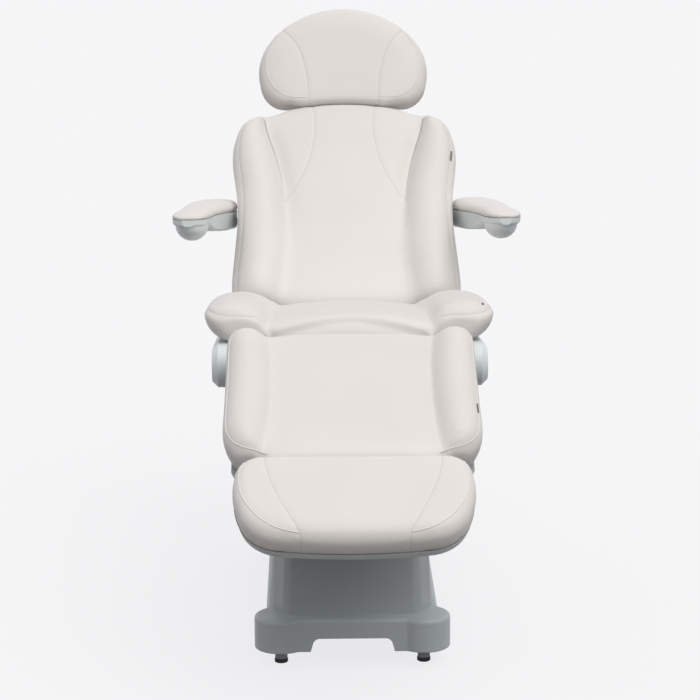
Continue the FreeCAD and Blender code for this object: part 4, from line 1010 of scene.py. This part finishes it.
class CHAIR_OT_hard_finishes(ChairOperator, bpy.types.Operator):
    """Plastic, paint, metal, board and rubber on the CAD parts that stay in sight"""

    bl_idname = "chair.hard_finishes"
    bl_label = "Hard finishes"

    def execute(self, context):
        finish = {"cover_plastic": cover_plastic, "frame_paint": frame_paint, "column_alloy": column_alloy,
                  "steel": pin_steel, "pan_board": pan_board, "black_plastic": black_plastic,
                  "foot_rubber": foot_rubber}
        # Painted light on the armrest shells and side covers, painted shade on the pedestal covers and sleeves:
        # lighter and darker copies of the cover plastic.
        own = {"armrest_shell": painted_light_plastic, "side_cover": painted_light_plastic, "pedestal_cover": painted_shade_plastic,
               "middle_sleeve": painted_shade_plastic, "top_sleeve": painted_shade_plastic, "foot_stem": dark_steel}
        for name, node in NODES.items():
            makers = [maker for start, maker in own.items() if name.startswith(start)]
            for place in node.material_slots:
                if place.material.name in finish:
                    place.material = (makers or [finish[place.material.name]])[0]()
        return {"FINISHED"}


class CHAIR_OT_stage(ChairOperator, bpy.types.Operator):
    """Pale floor, soft lamp from the upper right, even sky and the camera"""

    bl_idname = "chair.stage"
    bl_label = "Stage"

    def execute(self, context):
        stage = context.scene.chair_stage
        half = stage.floor_size / 2
        ground = bpy.data.meshes.new("studio_floor")
        corners = [(-half, -half, 0), (half, -half, 0), (half, half, 0), (-half, half, 0)]
        ground.from_pydata(corners, [], [(0, 1, 2, 3)])
        ground.materials.append(pale_ground())
        shown("studio_floor", ground)
        light_sky(stage)
        lamp = bpy.data.lights.new("key_lamp", "SUN")
        lamp.energy = stage.key
        lamp.angle = stage.key_angle
        lamp.color = (1.0, 0.985, 0.96)
        key = bpy.data.objects.new("key_lamp", lamp)
        key.rotation_euler = Vector((0.35, -0.55, 1.0)).to_track_quat("Z", "Y").to_euler()
        context.scene.collection.objects.link(key)
        place_camera(context.scene)
        context.scene.view_settings.view_transform = "Standard"
        return {"FINISHED"}


def light_sky(stage):
    """Sky of one colour that lights the chair, and shows as the backdrop to the camera."""
    world = bpy.data.worlds.new("studio_sky")
    bpy.context.scene.world = world
    world.use_nodes = True
    nodes = Nodes(world.node_tree)
    out = world.node_tree.nodes["World Output"]
    lit = world.node_tree.nodes["Background"]
    lit.inputs["Color"].default_value = (1.0, 1.0, 1.0, 1.0)
    lit.inputs["Strength"].default_value = stage.sky
    behind = nodes.add("ShaderNodeBackground", {"Color": (*stage.backdrop, 1.0), "Strength": 1.0})
    choice = nodes.add("ShaderNodeMixShader", {0: seen_directly(nodes)})
    nodes.join(lit.outputs[0], choice.inputs[1])
    nodes.join(behind.outputs[0], choice.inputs[2])
    nodes.join(choice.outputs[0], out.inputs[0])


CAMERA_AT = (-0.077, -5.3108, 1.76303)
CAMERA_PITCH = math.radians(12.3)
CAMERA_YAW = 0.016
CAMERA_ROLL = -0.0048
FOCAL_PIXELS = 2400.0
PHOTO_PIXELS = 700.0
OPTICAL_CENTRE = 352.0


def place_camera(scene):
    """Camera that looks along +Y, turned by a small yaw, a downward pitch and a small roll."""
    ahead, aside = math.cos(CAMERA_YAW), math.sin(CAMERA_YAW)
    flat = math.cos(CAMERA_PITCH)
    forward = Vector((aside * flat, ahead * flat, -math.sin(CAMERA_PITCH)))
    level = Vector((ahead, -aside, 0))
    rise = level.cross(forward)
    right = math.cos(CAMERA_ROLL) * level + math.sin(CAMERA_ROLL) * rise
    up = math.cos(CAMERA_ROLL) * rise - math.sin(CAMERA_ROLL) * level
    lens = bpy.data.cameras.new("photo_camera")
    lens.sensor_width = 36.0
    lens.lens = FOCAL_PIXELS / PHOTO_PIXELS * lens.sensor_width
    lens.shift_x = 0.5 - OPTICAL_CENTRE / PHOTO_PIXELS
    camera = bpy.data.objects.new("photo_camera", lens)
    camera.matrix_world = Matrix((right, up, -forward)).transposed().to_4x4()
    camera.location = CAMERA_AT
    scene.collection.objects.link(camera)
    scene.camera = camera


class CHAIR_PT_panel(bpy.types.Panel):
    """Settings and makers of the chair's pieces"""

    bl_idname = "CHAIR_PT_panel"
    bl_label = "Treatment chair"
    bl_space_type = "VIEW_3D"
    bl_region_type = "UI"
    bl_category = "Chair"

    def draw(self, context):
        for name in SETTINGS:
            group = getattr(context.scene, name)
            box = self.layout.box()
            for setting in group.__annotations__:
                box.prop(group, setting)
        for operator in OPERATORS:
            self.layout.operator(operator.bl_idname)


OPERATORS = (CHAIR_OT_head_pad, CHAIR_OT_back_pads, CHAIR_OT_armrest_pads, CHAIR_OT_seat_pads,
             CHAIR_OT_leg_pads, CHAIR_OT_foot_pad, CHAIR_OT_hard_finishes, CHAIR_OT_stage)
SETTINGS = {"chair_upholstery": ChairUpholstery, "chair_finishes": ChairFinishes, "chair_stage": ChairStage}


def register():
    for cls in (*SETTINGS.values(), *OPERATORS, CHAIR_PT_panel):
        bpy.utils.register_class(cls)
    for name, settings in SETTINGS.items():
        setattr(bpy.types.Scene, name, PointerProperty(type=settings))


def unregister():
    for name in SETTINGS:
        delattr(bpy.types.Scene, name)
    for cls in (CHAIR_PT_panel, *reversed(OPERATORS), *reversed(tuple(SETTINGS.values()))):
        bpy.utils.unregister_class(cls)


def main():
    register()
    bpy.ops.chair.head_pad()
    bpy.ops.chair.back_pads()
    bpy.ops.chair.armrest_pads()
    bpy.ops.chair.seat_pads()
    bpy.ops.chair.leg_pads()
    bpy.ops.chair.foot_pad()
    bpy.ops.chair.hard_finishes()
    bpy.ops.chair.stage()


if __name__ == "__main__":
    main()
